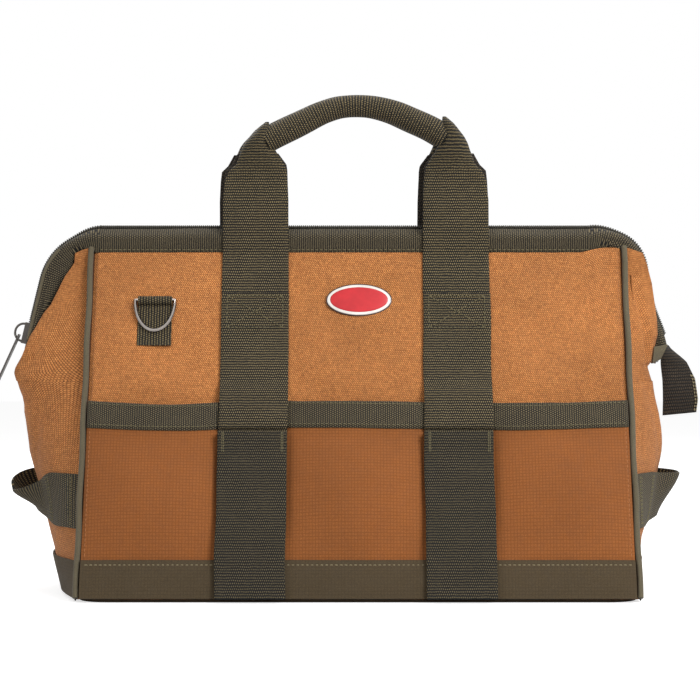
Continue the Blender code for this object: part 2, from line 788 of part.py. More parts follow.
def build_rivet(side, hand, looks):
    """The rivet's head outside the front lug, and its burr inside the back one."""
    sign = 1 if side == FRONT else -1
    face = lug_reach(side) + sign * (LUG_THICK / 2 + GAP)
    rings = []
    for rise_share, radius_share in ((0, 1.0), (0.5, 0.95), (1.0, 0.6)):
        x = MOUTH_SHIFT + hand * (face + sign * RIVET_HEIGHT * rise_share)
        ring = []
        for step in range(RIVET_SIDES):
            angle = math.tau * step / RIVET_SIDES
            radius = RIVET_RADIUS * radius_share
            ring.append(Vector((x, radius * math.cos(angle),
                                RIM_HEIGHT - PIN_DROP + radius * math.sin(angle))))
        rings.append(ring)
    piece = "rivet" if side == FRONT else "burr"
    loft(f"{HAND_NAMES[hand]}_{piece}", looks["steel"], rings)


# Handles

def handle_depth(height):
    """Distance of the strap's middle from the bag's middle plane."""
    centre = GAP + WEB_THICK / 2
    wall = BASE_HALF_DEPTH - height * math.tan(WALL_LEAN) + centre / math.cos(WALL_LEAN)
    clear = BAR_OFFSET + SLEEVE_RADIUS + GAP + WEB_THICK / 2
    top = HANDLE_LEG_TOP + HANDLE_RISE
    share = smooth_step((height - HANDLE_CLEAR_HEIGHT) / (top - HANDLE_CLEAR_HEIGHT))
    return mix(max(wall, clear), GRIP_OFFSET, share)


def handle_stations(side):
    """Stations as (x, height, tangent x, tangent height, curl) from left foot to right."""
    left, right = strap_centre(side, LEFT), strap_centre(side, RIGHT)
    foot = STRAP_SEWN_TOP + (GAP + WEB_THICK) * math.sin(WALL_LEAN) + GAP
    clear = BAR_OFFSET + SLEEVE_RADIUS + GAP + WEB_THICK / 2
    bend = (BASE_HALF_DEPTH - clear) / math.tan(WALL_LEAN)
    leg = [foot, mix(foot, bend, 0.5), bend, HANDLE_CLEAR_HEIGHT,
           mix(HANDLE_CLEAR_HEIGHT, HANDLE_LEG_TOP, 0.5)]
    stations = [(left, height, 0, 1, 0) for height in leg]
    middle = (left + right) / 2
    half_span = (right - left) / 2
    for step in range(HANDLE_ARCH_STEPS + 1):
        angle = math.pi * step / HANDLE_ARCH_STEPS
        x = middle - half_span * math.cos(angle)
        height = HANDLE_LEG_TOP + HANDLE_RISE * math.sin(angle)
        tangent = Vector((half_span * math.sin(angle), HANDLE_RISE * math.cos(angle)))
        tangent.normalize()
        from_foot = min(angle, math.pi - angle)
        curl = HANDLE_CURL_SHARE * smooth_step(from_foot / HANDLE_CURL_END)
        stations.append((x, height, tangent.x, tangent.y, curl))
    stations += [(right, height, 0, -1, 0) for height in reversed(leg)]
    return stations


def handle_ring(side, station):
    """The webbing's section: flat on the legs, rolled into a tube along the grip."""
    x, height, along_x, along_z, curl = station
    depth = handle_depth(height)
    if curl > 0:
        radius = WEB_WIDTH / (math.tau * curl)
        mean = radius * (1 - math.sin(math.pi * curl) / (math.pi * curl))
        deepest = radius * (1 - math.cos(math.pi * curl)) - mean
        depth = max(depth, deepest + WEB_THICK / 2 + GAP)
    outer, inner = [], []
    for step in range(HANDLE_ACROSS + 1):
        place = 2 * step / HANDLE_ACROSS - 1
        angle = math.pi * curl * place
        if curl > 0:
            across = radius * math.sin(angle)
            inward = radius * (1 - math.cos(angle)) - mean
        else:
            across = place * WEB_WIDTH / 2
            inward = 0
        for line, half in ((outer, WEB_THICK / 2), (inner, -WEB_THICK / 2)):
            out_across = across + half * math.sin(angle)
            out_inward = inward - half * math.cos(angle)
            line.append(Vector((x - along_z * out_across, side * (depth - out_inward),
                                height + along_x * out_across)))
    return outer + list(reversed(inner))


def build_handle(side, looks):
    rings = [handle_ring(side, station) for station in handle_stations(side)]
    axis = wall_point(side, 0, STRAP_SEWN_TOP, GAP + WEB_THICK)
    loft(f"{SIDE_NAMES[side]}_handle", looks["web"], rings, axis)


# Ring tab, ring and badge on the front wall

def ring_bar_out():
    return GAP + TAB_WEB_THICK + GAP + RING_WIRE_RADIUS


def build_ring_tab(looks):
    """Webbing that comes up the wall and hooks over the ring's bar."""
    out = ring_bar_out()
    turns = [math.radians(mix(180, -100, step / TAB_ARC_STEPS)) for step in range(TAB_ARC_STEPS + 1)]
    outline = [(GAP, TAB_FOOT)]
    for radius, angles in ((out - GAP, turns), (RING_WIRE_RADIUS + GAP, reversed(turns))):
        outline += [(out + radius * math.cos(angle), RING_BAR_HEIGHT + radius * math.sin(angle))
                    for angle in angles]
    outline.append((GAP + TAB_WEB_THICK, TAB_FOOT))
    edges = (TAB_X - TAB_WIDTH / 2, TAB_X + TAB_WIDTH / 2)
    rings = [[wall_point(FRONT, x, height, w) for w, height in outline] for x in edges]
    loft("ring_tab", looks["web"], rings, round_piece=False)


def build_ring(looks):
    half = RING_WIDTH / 2 - RING_WIRE_RADIUS
    drop = RING_DROP - 2 * RING_WIRE_RADIUS
    path = []
    for step in range(RING_BOW_STEPS + 1):
        angle = math.pi * step / RING_BOW_STEPS
        path.append((half * math.cos(angle), -drop * math.sin(angle)))
    path += [(mix(-half, half, share), 0) for share in (0.1, 0.5, 0.9)]
    points = [wall_point(FRONT, TAB_X + x, RING_BAR_HEIGHT + down * math.cos(WALL_LEAN),
                         ring_bar_out()) for x, down in path]
    axis = wall_point(FRONT, TAB_X, RING_BAR_HEIGHT, ring_bar_out())
    rings = tube_rings(points, RING_WIRE_RADIUS, PIPING_SIDES, closed=True)
    loft("d_ring", looks["nickel"], rings, axis, closed=True)


def build_badge(looks):
    rings = []
    for out, inset in ((0, 0), (BADGE_THICK - BADGE_EDGE, 0), (BADGE_THICK, BADGE_EDGE)):
        ring = []
        for step in range(BADGE_SIDES):
            angle = math.tau * step / BADGE_SIDES
            x = BADGE_X + (BADGE_HALF_LENGTH - inset) * math.cos(angle)
            up = (BADGE_HALF_WIDTH - inset) * math.sin(angle) * math.cos(WALL_LEAN)
            ring.append(wall_point(FRONT, x, BADGE_HEIGHT + up, GAP + out))
        rings.append(ring)
    loft("badge", looks["badge"], rings)


# Zip slider, pull and end tab

def slider_point(along, rise, y):
    station = mouth_station(mouth_distance(SLIDER_DROP) + along)
    point = mouth_point(FRONT, LEFT, station, rise, 0)
    point.y = y
    return point


def plate_top():
    return LEG_CHAIN_RISE + GAP + SLIDER_PLATE


def build_slider(looks):
    inside = GAP + CHAIN_THICK + GAP
    outside = inside + SLIDER_FLANGE
    under = LEG_CHAIN_RISE + GAP
    lip = LEG_CHAIN_RISE - CHAIN_HEIGHT + 2 * GAP
    outline = [(-outside, lip), (-outside, plate_top()), (outside, plate_top()), (outside, lip),
               (inside, lip), (inside, under), (-inside, under), (-inside, lip)]
    rings = [[slider_point(along, rise, y) for y, rise in outline]
             for along in (-SLIDER_LENGTH / 2, SLIDER_LENGTH / 2)]
    axis = slider_point(0, LEG_CHAIN_RISE, 0)
    loft("zip_slider", looks["nickel"], rings, axis, round_piece=False)
    foot = plate_top() + GAP
    half = BAIL_LENGTH / 2 - BAIL_WIRE_RADIUS
    path = []
    for step in range(BAIL_STEPS + 1):
        angle = math.pi * step / BAIL_STEPS
        path.append(slider_point(half * math.cos(angle), foot + BAIL_RISE * math.sin(angle), 0))
    loft("zip_bail", looks["nickel"], tube_rings(path, BAIL_WIRE_RADIUS, PIPING_SIDES), axis)


def pull_hinge():
    half = BAIL_LENGTH / 2 - BAIL_WIRE_RADIUS
    return slider_point(half * math.cos(PULL_HINGE_TURN),
                        plate_top() + GAP + BAIL_RISE * math.sin(PULL_HINGE_TURN), 0)


def build_pull(looks):
    """A flat pull with a slot round the bail, hanging by its top bar."""
    hinge = pull_hinge()
    down = Vector((-math.sin(PULL_HANG_ANGLE), 0, -math.cos(PULL_HANG_ANGLE)))
    thick = Vector((math.cos(PULL_HANG_ANGLE), 0, -math.sin(PULL_HANG_ANGLE))) * PULL_THICK
    half, slot = PULL_WIDTH / 2, PULL_SLOT_WIDTH / 2
    start = -PULL_SLOT_BEFORE - PULL_BAR
    end = start + PULL_LENGTH
    outline = [(start, half), (PULL_SLOT_AFTER, half), (end - slot, half), (end, slot),
               (end, -slot), (end - slot, -half), (PULL_SLOT_AFTER, -half), (start, -half)]
    hole = [(-PULL_SLOT_BEFORE, slot), (PULL_SLOT_AFTER - PULL_BAR, slot),
            (PULL_SLOT_AFTER, slot / 2), (PULL_SLOT_AFTER, slot / 4),
            (PULL_SLOT_AFTER, -slot / 4), (PULL_SLOT_AFTER, -slot / 2),
            (PULL_SLOT_AFTER - PULL_BAR, -slot), (-PULL_SLOT_BEFORE, -slot)]

    def ring(points, layer):
        return [hinge + down * along + Vector((0, y, 0)) + thick * (layer - 0.5)
                for along, y in points]

    sleeve("zip_pull", looks["nickel"], [ring(outline, layer) for layer in (0, 1)],
           [ring(hole, layer) for layer in (0, 1)], hinge)


def build_end_tab(looks):
    """The webbing tab at the zip's right end, turning from edge on to face on as it hangs."""
    face = lug_reach(FRONT) + LUG_THICK / 2 + 2 * GAP + RIVET_HEIGHT
    x = MOUTH_SHIFT + face + END_TAB_THICK / 2
    top = RIM_HEIGHT - PIN_DROP + RIVET_RADIUS
    rings = []
    for step in range(END_TAB_STEPS + 1):
        share = step / END_TAB_STEPS
        turned = smooth_step(share / END_TAB_TURN_SHARE)
        turn = math.pi / 2 * turned
        half = END_TAB_WIDTH / 2 * mix(0.5, 1, turned)
        wide = Vector((math.sin(turn), math.cos(turn), 0)) * half
        deep = Vector((math.cos(turn), -math.sin(turn), 0)) * END_TAB_THICK / 2
        lean = END_TAB_LEAN * smooth_step(share / END_TAB_LEAN_SHARE)
        middle = Vector((x + lean, 0, top - END_TAB_LENGTH * share))
        rings.append([middle + wide + deep, middle - wide + deep, middle - wide - deep,
                      middle + wide - deep])
    loft("zip_end_tab", looks["web"], rings, Vector((x, 0, top)), round_piece=False)


def main():
    clear_scene()
    looks = {
        "canvas": material("canvas", (0.56, 0.21, 0.05), 0.85),
        "ripstop": material("ripstop", (0.50, 0.17, 0.04), 0.8),
        "web": material("webbing", (0.085, 0.072, 0.045), 0.85),
        "boot": material("boot cloth", (0.075, 0.055, 0.03), 0.85),
        "board": material("board", (0.04, 0.04, 0.04), 0.6),
        "zip": material("zip", (0.02, 0.02, 0.018), 0.5),
        "steel": material("steel", (0.45, 0.45, 0.45), 0.35, 1.0),
        "nickel": material("nickel", (0.65, 0.64, 0.62), 0.25, 1.0),
        "badge": material("badge", (0.45, 0.03, 0.03), 0.4),
    }
    build_base(looks)
    for hand in (LEFT, RIGHT):
        build_end(hand, looks)
    for side in (FRONT, BACK):
        build_wall(side, looks)
        build_mouth_top(side, looks)
        build_frame(side, looks)
        build_handle(side, looks)
        for hand in (LEFT, RIGHT):
            build_gusset(side, hand, looks)
    build_ring_tab(looks)
    build_ring(looks)
    build_badge(looks)
    build_slider(looks)
    build_pull(looks)
    build_end_tab(looks)


main()
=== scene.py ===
"""Looks of the wide-mouth tool bag: cloth, webbing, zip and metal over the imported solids."""
import math

import bpy
import numpy as np
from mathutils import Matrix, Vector


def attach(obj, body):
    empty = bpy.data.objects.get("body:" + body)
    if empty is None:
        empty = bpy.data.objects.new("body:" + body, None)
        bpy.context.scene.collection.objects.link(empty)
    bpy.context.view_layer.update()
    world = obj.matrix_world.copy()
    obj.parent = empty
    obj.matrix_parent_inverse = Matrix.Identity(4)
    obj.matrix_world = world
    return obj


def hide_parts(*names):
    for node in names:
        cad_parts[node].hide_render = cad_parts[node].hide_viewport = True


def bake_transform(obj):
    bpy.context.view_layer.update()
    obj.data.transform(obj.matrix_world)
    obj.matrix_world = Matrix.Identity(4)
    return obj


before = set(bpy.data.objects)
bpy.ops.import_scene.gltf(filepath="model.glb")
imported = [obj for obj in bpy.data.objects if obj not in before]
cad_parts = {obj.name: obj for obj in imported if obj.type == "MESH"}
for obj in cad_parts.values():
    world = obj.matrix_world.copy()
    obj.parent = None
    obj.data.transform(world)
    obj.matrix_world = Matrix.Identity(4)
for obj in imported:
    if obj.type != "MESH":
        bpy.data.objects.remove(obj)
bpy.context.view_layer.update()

# Sizes shared with the solids, in metres
RIM = 0.260
LEAN = math.atan2(0.1014, RIM)
BAR_OUT = 0.0066
DEPTH = 0.108
HALF = 0.198
FOOT = 0.0034
BOOT_TOP = 0.028
POCKET_TOP = 0.141
BAND_LOW = POCKET_TOP - 0.0194
WEB = 0.050
SHIFT = -0.010
BAR = 0.182
BEND = 0.040
TURN = math.radians(76.3)
END_TOP = 0.154
BASE_CORNER = 0.022
PIPING_REACH = 0.0024
CAD_PLAY = 0.0003
FRONT, BACK, LEFT, RIGHT = -1, 1, -1, 1
SIDE = {FRONT: "front", BACK: "back"}
HAND = {LEFT: "left", RIGHT: "right"}

# Sizes of the dressed pieces, in metres
CLOTH_END = 0.1953
CLOTH_FLAT = 0.1900
ROW_END = 0.193
WEB_THICK = 0.0019
OVER_POCKET = 0.0044
BINDING_DROP = 0.0095
LEG_DROP = 0.0045
INNER_BEND = BEND - LEG_DROP - 0.002

# A thread's share of its stitch, and its radius
THREAD = 0.72, 0.00032


# Small sums

def smooth(value):
    value = min(1.0, max(0.0, value))
    return value * value * (3 - 2 * value)


def mix(low, high, share):
    return low + (high - low) * share


def between(rows, x):
    """The values at x between rows that each start with their own x."""
    xs, *columns = zip(*rows)
    return [float(np.interp(x, xs, column)) for column in columns]


def ripple(a, b, seed=0.0):
    """Soft unevenness between -1 and 1, the same on each run. a and b are in metres."""
    return (math.sin(61 * a + 23 * b + seed) * 0.45 + math.sin(-37 * a + 79 * b + 2.1 * seed) * 0.3
            + math.sin(131 * a + 97 * b + 3.7 * seed) * 0.15
            + math.sin(17 * a - 149 * b + 1.3 * seed) * 0.1)


def spread(low, high, count):
    return [mix(low, high, step / count) for step in range(count + 1)]


def circle(count):
    """Cosine and sine of equal turns."""
    turns = [math.tau * step / count for step in range(count)]
    return [(math.cos(turn), math.sin(turn)) for turn in turns]


# Mesh builders


def make(name, points, faces, look, uvs=None, on=None, replaces="", slot=None, normals=None):
    """A piece of the scene. on is the body it rides; when it is the four facts of a blend, the
    piece stays where it is made.
    """
    mesh = bpy.data.meshes.new(name)
    mesh.from_pydata([tuple(p) for p in points], [], faces)
    if uvs is not None:
        layer = mesh.uv_layers.new(name="UVMap")
        flat = np.array(uvs, np.float32)
        loops = np.zeros(len(mesh.loops), np.int32)
        mesh.loops.foreach_get("vertex_index", loops)
        layer.data.foreach_set("uv", flat[loops].ravel())
    mesh.materials.append(look)
    mesh.shade_smooth()
    mesh.set_sharp_from_angle(angle=math.radians(50))
    if normals is not None:
        mesh.normals_split_custom_set_from_vertices([tuple(n) for n in normals])
    made = bpy.data.objects.new(name, mesh)
    bpy.context.scene.collection.objects.link(made)
    if isinstance(on, str):
        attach(made, on)
    else:
        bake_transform(made)
    if replaces:
        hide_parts(replaces)


def slab(name, outer, inner, faces, rim, flip, look, uvs, **rest):
    """A closed sheet: faces over its outer points, the same over its inner ones, and a rim."""
    count = len(outer)
    if flip:
        faces, rim = [(face[0], *face[:0:-1]) for face in faces], rim[::-1]
    faces += [tuple(count + v for v in (face[0], *face[:0:-1])) for face in faces]
    faces += [(b, a, count + a, count + b) for a, b in zip(rim, rim[1:] + rim[:1])]
    make(name, [*outer, *inner], faces, look, uvs * 2, **rest)


def sheet(name, us, vs, place, thick, look, outward, uv=lambda u, v: (u, v), **rest):
    """A closed cloth sheet whose outer face is place(u, v). uv gives metres on the cloth."""
    outer = np.array([[tuple(place(u, v)) for u in us] for v in vs], float)
    normal = np.cross(np.gradient(outer, axis=1), np.gradient(outer, axis=0))
    normal /= np.maximum(np.linalg.norm(normal, axis=2, keepdims=True), 1e-12)
    flip = float((normal.mean((0, 1)) * np.array(tuple(outward))).sum()) < 0
    inner = outer - normal * (-thick if flip else thick)
    uvs = [tuple(1000 * metres for metres in uv(u, v)) for v in vs for u in us]
    columns = len(us)
    index = np.arange(columns * len(vs)).reshape(-1, columns)
    faces = [(a, a + 1, a + 1 + columns, a + columns) for a in index[:-1, :-1].ravel().tolist()]
    rim = np.concatenate((index[0], index[1:, -1], index[-1, -2::-1], index[-2:0:-1, 0])).tolist()
    slab(name, outer.reshape(-1, 3), inner.reshape(-1, 3), faces, rim, flip, look, uvs, **rest)


def skin(first, rings, count):
    """Faces round rings of count points, which start at the point first, and over both ends."""
    faces = []
    for low in range(first, first + (rings - 1) * count, count):
        turns = [(low + step, low + (step + 1) % count) for step in range(count)]
        faces += [(a, b, b + count, a + count) for a, b in turns]
    last = first + (rings - 1) * count
    return faces + [tuple(reversed(range(first, first + count))), tuple(range(last, last + count))]


def lengths(points):
    """Running length along points."""
    steps = np.linalg.norm(np.diff(points, axis=0), axis=1)
    return [0.0, *np.cumsum(steps).tolist()]


def loft(name, rings, look, along=None, around=None, **rest):
    """A capped skin through closed rings of points, with its UV in millimetres."""
    rings = np.array([[tuple(p) for p in ring] for ring in rings], float)
    count = rings.shape[1]
    along = along or lengths(rings.mean(1))
    around = around or lengths(rings[len(rings) // 2])
    uvs = [(a * 1000, s * 1000) for s in along for a in around]
    make(name, rings.reshape(-1, 3), skin(0, len(rings), count), look, uvs, **rest)


def tube(name, path, radius, look, sides, **rest):
    """A round cord along a list of points."""
    rings = []
    normal = None
    for index, point in enumerate(path):
        before, after = path[max(0, index - 1)], path[min(len(path) - 1, index + 1)]
        tangent = (after - before).normalized()
        if normal is None:
            helper = Vector((0, 1, 0)) if abs(tangent.y) < 0.9 else Vector((1, 0, 0))
            normal = tangent.cross(helper).normalized()
        normal = (normal - tangent * normal.dot(tangent)).normalized()
        side = tangent.cross(normal)
        rings.append([point + (normal * cos + side * sin) * radius
                      for cos, sin in circle(sides)])
    loft(name, rings, look, **rest)


def stitch(name, look, on, normal, rows):
    """Rows of short threads in one piece. A row is place(u, v), its start and end as (u, v), the
    count of its threads, a thread's share of its stitch, and its radius."""
    normal = Vector(normal)
    points, faces = [], []
    for place, start, end, count, fill, radius in rows:
        up = normal.normalized() * radius
        for index in range(count):
            shares = [(index + (1 + way * fill) / 2) / count for way in (-1, 1)]
            first, last = (place(*(mix(low, high, share) for low, high in zip(start, end)))
                           for share in shares)
            axis = last - first
            across = axis.cross(normal).normalized() * radius
            base = len(points)
            for share, size in ((0.0, 0.35), (0.2, 0.95), (0.5, 1.15), (0.8, 0.95), (1.0, 0.35)):
                middle = first + axis * share + up * (size - 0.6) * 1.2
                points += [middle + (across * cos + up * sin) * size for cos, sin in circle(6)]
            faces += skin(base, 5, 6)
    make(name, points, faces, look, on=on)


# Looks

def srgb(color):
    """A linear colour from red, green and blue of 0 to 255."""
    shares = [value / 255 for value in color]
    return tuple(s / 12.92 if s <= 0.04045 else ((s + 0.055) / 1.055) ** 2.4
                 for s in shares) + (1.0,)


class Net:
    """A short way to write shader nodes."""

    def __init__(self, owner, shader="Principled BSDF"):
        owner.use_nodes = True
        self.owner, self.tree = owner, owner.node_tree
        self.shader = self.tree.nodes[shader]

    def add(self, kind, values=None, **settings):
        node = self.tree.nodes.new(kind)
        for key, value in settings.items():
            setattr(node, key, value)
        for key, value in (values or {}).items():
            self.feed(node.inputs[key], value)
        return node

    def feed(self, socket, value):
        if isinstance(value, bpy.types.NodeSocket):
            self.tree.links.new(value, socket)
        else:
            socket.default_value = value

    def dress(self, **inputs):
        """Feeds the shader's inputs, named with _ for a space, and gives back the look."""
        for key, value in inputs.items():
            self.feed(self.shader.inputs[key.replace("_", " ")], value)
        return self.owner

    def place(self):
        return self.add("ShaderNodeTexCoord").outputs["Object"]

    def math(self, operation, first, second=0.0):
        return self.add("ShaderNodeMath", {0: first, 1: second}, operation=operation).outputs[0]

    def times(self, first, second):
        return self.math("MULTIPLY", first, second)

    def blend(self, share, first, second, kind="MIX"):
        node = self.add("ShaderNodeMix", data_type="RGBA", blend_type=kind)
        for index, value in ((0, share), (6, first), (7, second)):
            self.feed(node.inputs[index], value)
        return node.outputs[2]

    def shade(self, color, tone):
        return self.add("ShaderNodeVectorMath", {0: color, "Scale": tone},
                        operation="SCALE").outputs[0]

    def noise(self, vector, scale, detail=3.0, rough=0.6):
        return self.add("ShaderNodeTexNoise", {"Vector": vector, "Scale": scale, "Detail": detail,
                                               "Roughness": rough}).outputs["Fac"]

    def spread(self, value, low, high, out_low=0.0, out_high=1.0):
        return self.add("ShaderNodeMapRange",
                        {0: value, 1: low, 2: high, 3: out_low, 4: out_high}).outputs[0]

    def brick(self, vector, width, height, gap, soft, offset=0.5):
        node = self.add("ShaderNodeTexBrick",
                        {"Vector": vector, "Scale": 1.0, "Mortar Size": gap,
                         "Mortar Smooth": soft, "Brick Width": width, "Row Height": height,
                         "Color1": (1, 1, 1, 1), "Color2": (0, 0, 0, 1),
                         "Mortar": (0.5, 0.5, 0.5, 1)}, offset=offset)
        return node.outputs["Fac"], node.outputs["Color"]

    def bump(self, strength, distance, height, under=None):
        values = {"Strength": strength, "Distance": distance, "Height": height}
        if under is not None:
            values["Normal"] = under
        return self.add("ShaderNodeBump", values).outputs[0]


def look_net(name):
    return Net(bpy.data.materials.new(name))


def cloth(name, dark, light, weave, bump, sheen, mottled, grid=None, diagonal=0.0,
          grain=(900.0, 0.7)):
    """Woven cloth. weave is (thread width, thread height, gap, softness) in millimetres, grid is
    ripstop's (pitch, line, darkness, relief), and grain is (scale, darkest share)."""
    net = look_net(name)
    uv = net.add("ShaderNodeUVMap").outputs[0]
    place = net.place()
    lie = net.add("ShaderNodeMapping", {"Vector": uv, "Rotation": (0, 0, diagonal)}).outputs[0]
    wander = net.noise(place, grain[0], 2.0)
    mortar, threads = net.brick(lie, *weave)
    height = net.math("SUBTRACT", 1.0, mortar)
    color = net.blend(net.times(height, net.spread(wander, 0.3, 0.7, grain[1], 1.0)),
                      srgb(dark), srgb(light))
    color = net.blend(0.12, color, threads, "SOFT_LIGHT")
    if grid:
        pitch, gap, darkness, relief = grid
        line, _ = net.brick(uv, pitch, pitch, gap, 0.6, 0.0)
        color = net.blend(net.times(line, darkness), color, srgb(dark))
        height = net.math("ADD", height, net.times(line, relief))
    broad = net.noise(place, 14.0, 4.0)
    fine = net.noise(place, 160.0)
    tone = net.math("ADD", net.spread(broad, 0.3, 0.7, 1 - mottled, 1 + mottled),
                    net.spread(fine, 0.3, 0.7, -mottled * 0.4, mottled * 0.4))
    lump = net.bump(bump, 0.0004, height)
    return net.dress(Base_Color=net.shade(color, tone), Sheen_Weight=sheen, Sheen_Roughness=0.5,
                     Roughness=net.spread(fine, 0.3, 0.7, 0.76, 0.88), Specular_IOR_Level=0.25,
                     Normal=net.bump(0.12, 0.0006, fine, lump))


def webbing(name, dark, light, row, pitch, low, rub=(142, 128, 96)):
    """Woven tape: ribs across its length, each rib broken into the floats of its warp."""
    net = look_net(name)
    uv = net.add("ShaderNodeUVMap").outputs[0]
    place = net.place()
    parts = net.add("ShaderNodeSeparateXYZ", {0: uv})
    wander = net.spread(net.noise(place, 220.0, 2.0), 0.3, 0.7, -0.12, 0.12)
    rows = net.math("ADD", net.math("DIVIDE", parts.outputs[1], row), wander)
    column = net.times(net.math("FLOOR", rows), 0.5)
    across = net.math("ADD", net.math("DIVIDE", parts.outputs[0], pitch), column)
    rib, warp = (net.math("ABSOLUTE", net.math("SINE", net.times(wave, math.pi)))
                 for wave in (rows, across))
    height = net.times(net.math("POWER", rib, 0.7), net.math("POWER", warp, 0.55))
    fine = net.noise(place, 1400.0, 2.0)
    share = net.times(net.spread(height, low, 0.92), net.spread(fine, 0.25, 0.75, 0.65, 1.1))
    worn = net.times(net.spread(net.noise(place, 70.0, 4.0, 0.7), 0.5, 0.75),
                     net.times(net.spread(height, 0.5, 1.0), 0.22))
    color = net.blend(worn, net.blend(share, srgb(dark), srgb(light)), srgb(rub))
    tone = net.spread(net.noise(place, 22.0), 0.3, 0.7, 0.9, 1.1)
    lump = net.bump(0.8, 0.0005, height)
    return net.dress(Base_Color=net.shade(color, tone), Sheen_Weight=0.04, Sheen_Roughness=0.5,
                     Roughness=net.spread(fine, 0.3, 0.7, 0.68, 0.85), Specular_IOR_Level=0.3,
                     Normal=net.bump(0.15, 0.0003, fine, lump))


def uneven(net, wave, low, high, color, dark):
    """A colour that turns darker, by a share, where a noise is high."""
    light = srgb(color)
    return net.blend(net.spread(wave, low, high), light,
                     tuple(c * dark for c in light[:3]) + (1.0,))


def metal(name, color, rough, metallic=1.0):
    net = look_net(name)
    place = net.place()
    fine = net.noise(place, 700.0, 4.0)
    return net.dress(Base_Color=uneven(net, net.noise(place, 90.0), 0.35, 0.7, color, 0.8),
                     Metallic=metallic, Roughness=net.spread(fine, 0.3, 0.7, rough, rough + 0.12),
                     Normal=net.bump(0.08, 0.0002, fine))


def enamel(name, color, rough):
    return metal(name, color, rough, 0.0)


def thread(name, color):
    net = look_net(name)
    twist = net.noise(net.place(), 2500.0, 2.0)
    return net.dress(Base_Color=uneven(net, twist, 0.3, 0.7, color, 0.6), Roughness=0.7,
                     Sheen_Weight=0.2, Normal=net.bump(0.3, 0.0002, twist))


CANVAS = cloth("canvas_twill", (94, 51, 19), (216, 142, 80), (1.75, 1.25, 0.20, 0.5),
               0.6, 0.05, 0.16, diagonal=0.9, grain=(520.0, 0.5))
# Darker canvas for the pipings' turned-in cloth: painted shade along both sides of each piping
SEAM_SHADE = cloth("seam_shade", (62, 36, 20), (88, 54, 32), (0.9, 0.62, 0.12, 0.6),
             0.3, 0.0, 0.07)
RIPSTOP = cloth("pocket_ripstop", (114, 65, 27), (158, 95, 46), (0.8, 0.55, 0.1, 0.6),
                0.3, 0.05, 0.10, grid=(2.3, 0.35, 0.7, 0.6))
BOOT = cloth("boot_ripstop", (55, 45, 30), (83, 69, 48), (0.8, 0.6, 0.1, 0.6),
             0.35, 0.04, 0.08, grid=(2.3, 0.3, 0.4, 0.5))
PIPING = cloth("piping_cloth", (74, 67, 51), (110, 101, 80), (0.9, 0.7, 0.14, 0.6),
               0.5, 0.12, 0.06)
TAPE = cloth("zip_tape_weave", (24, 21, 16), (58, 53, 42), (0.7, 1.2, 0.16, 0.6),
             0.5, 0.1, 0.05)
LINING = cloth("inner_coating", (150, 96, 50), (182, 120, 68), (0.9, 0.7, 0.1, 0.6),
               0.2, 0.05, 0.05)
WEBBING = webbing("olive_webbing", (8, 7, 4), (136, 119, 82), 2.0, 1.45, 0.66)
# A darker copy of the strap webbing, with a darker rub: painted shade on the straps' lower part
SHADED_LOW_WEBBING = webbing("lower_webbing_painted_shade", (6, 5, 3), (100, 88, 60), 2.0, 1.45, 0.66, (118, 106, 78))
# Dark ribbed webbing for the zip's end tab; on the handle legs' fold it is painted shade inside
# the fold
DARK_WEB_AND_FOLD_SHADE = webbing("dark_ribbed_webbing_and_fold_shade", (12, 9, 6), (62, 51, 38), 2.4, 1.5, 0.42, (110, 96, 76))
BINDING = webbing("fine_binding", (8, 7, 4), (118, 105, 78), 1.6, 1.6, 0.5)
COIL = thread("zip_coil", (74, 69, 58))
ORANGE_THREAD = thread("tan_thread", (176, 112, 58))
OLIVE_THREAD = thread("olive_thread", (106, 97, 64))
PALE_THREAD = thread("pale_thread", (146, 134, 100))
NICKEL = metal("bright_nickel", (176, 168, 162), 0.10)
DARK_NICKEL = metal("dark_nickel", (92, 88, 84), 0.3)
STEEL = metal("plain_steel", (150, 150, 150), 0.32)
BOARD = metal("stiff_board", (40, 40, 40), 0.6, 0.0)
BADGE_RED = enamel("badge_red", (196, 34, 42), 0.3)
BADGE_PALE = enamel("badge_pale", (232, 228, 222), 0.3)
BADGE_DARK = enamel("badge_dark", (60, 34, 30), 0.35)


# Places on the bag

def wall(side, x, height, out):
    """A point by its place along the bag, its height on the wall and its stand-off."""
    y = DEPTH - height * math.tan(LEAN) + out * math.cos(LEAN)
    return Vector((x, side * y, height + out * math.sin(LEAN)))


def wall_normal(side):
    return 0, side * math.cos(LEAN), math.sin(LEAN)


def strap_x(side, hand):
    centre = -0.0755 if hand == LEFT else 0.0728
    return centre - (0.0035 if side == BACK else 0)


def station(distance):
    """Reach, height and outward direction of the mouth's line, past the end of its straight."""
    angle = min(distance / BEND, TURN)
    across, up = math.sin(angle), math.cos(angle)
    reach = BAR + BEND * across
    height = RIM - BEND + BEND * up
    beyond = max(0.0, distance - BEND * TURN)
    return reach + beyond * up, height - beyond * across, across, up


def straight(x):
    return x, RIM, 0.0, 1.0


def leg_distance(drop):
    return BEND * TURN + (drop - BEND * (1 - math.cos(TURN))) / math.sin(TURN)


def corner_lift(hand, height, across, up):
    """The outer edge of the mouth's right corner and leg stands prouder than on the left."""
    if hand == LEFT or across <= 0:
        return 0.0
    turned = min(1.0, math.atan2(across, up) / TURN)
    return 0.0056 * math.sin(math.pi * turned ** 1.1) + 0.0030 * smooth((0.212 - height) / 0.03)


def mouth(side, hand, where, rise, out):
    """A point beside the mouth's line: rise is away from its bend, out is away from the zip."""
    reach, height, across, up = where
    rise += corner_lift(hand, height, across, up) * smooth((rise + 0.0055) / 0.006)
    return Vector((SHIFT + hand * (reach + across * rise), side * (BAR_OUT + out),
                   height + up * rise))


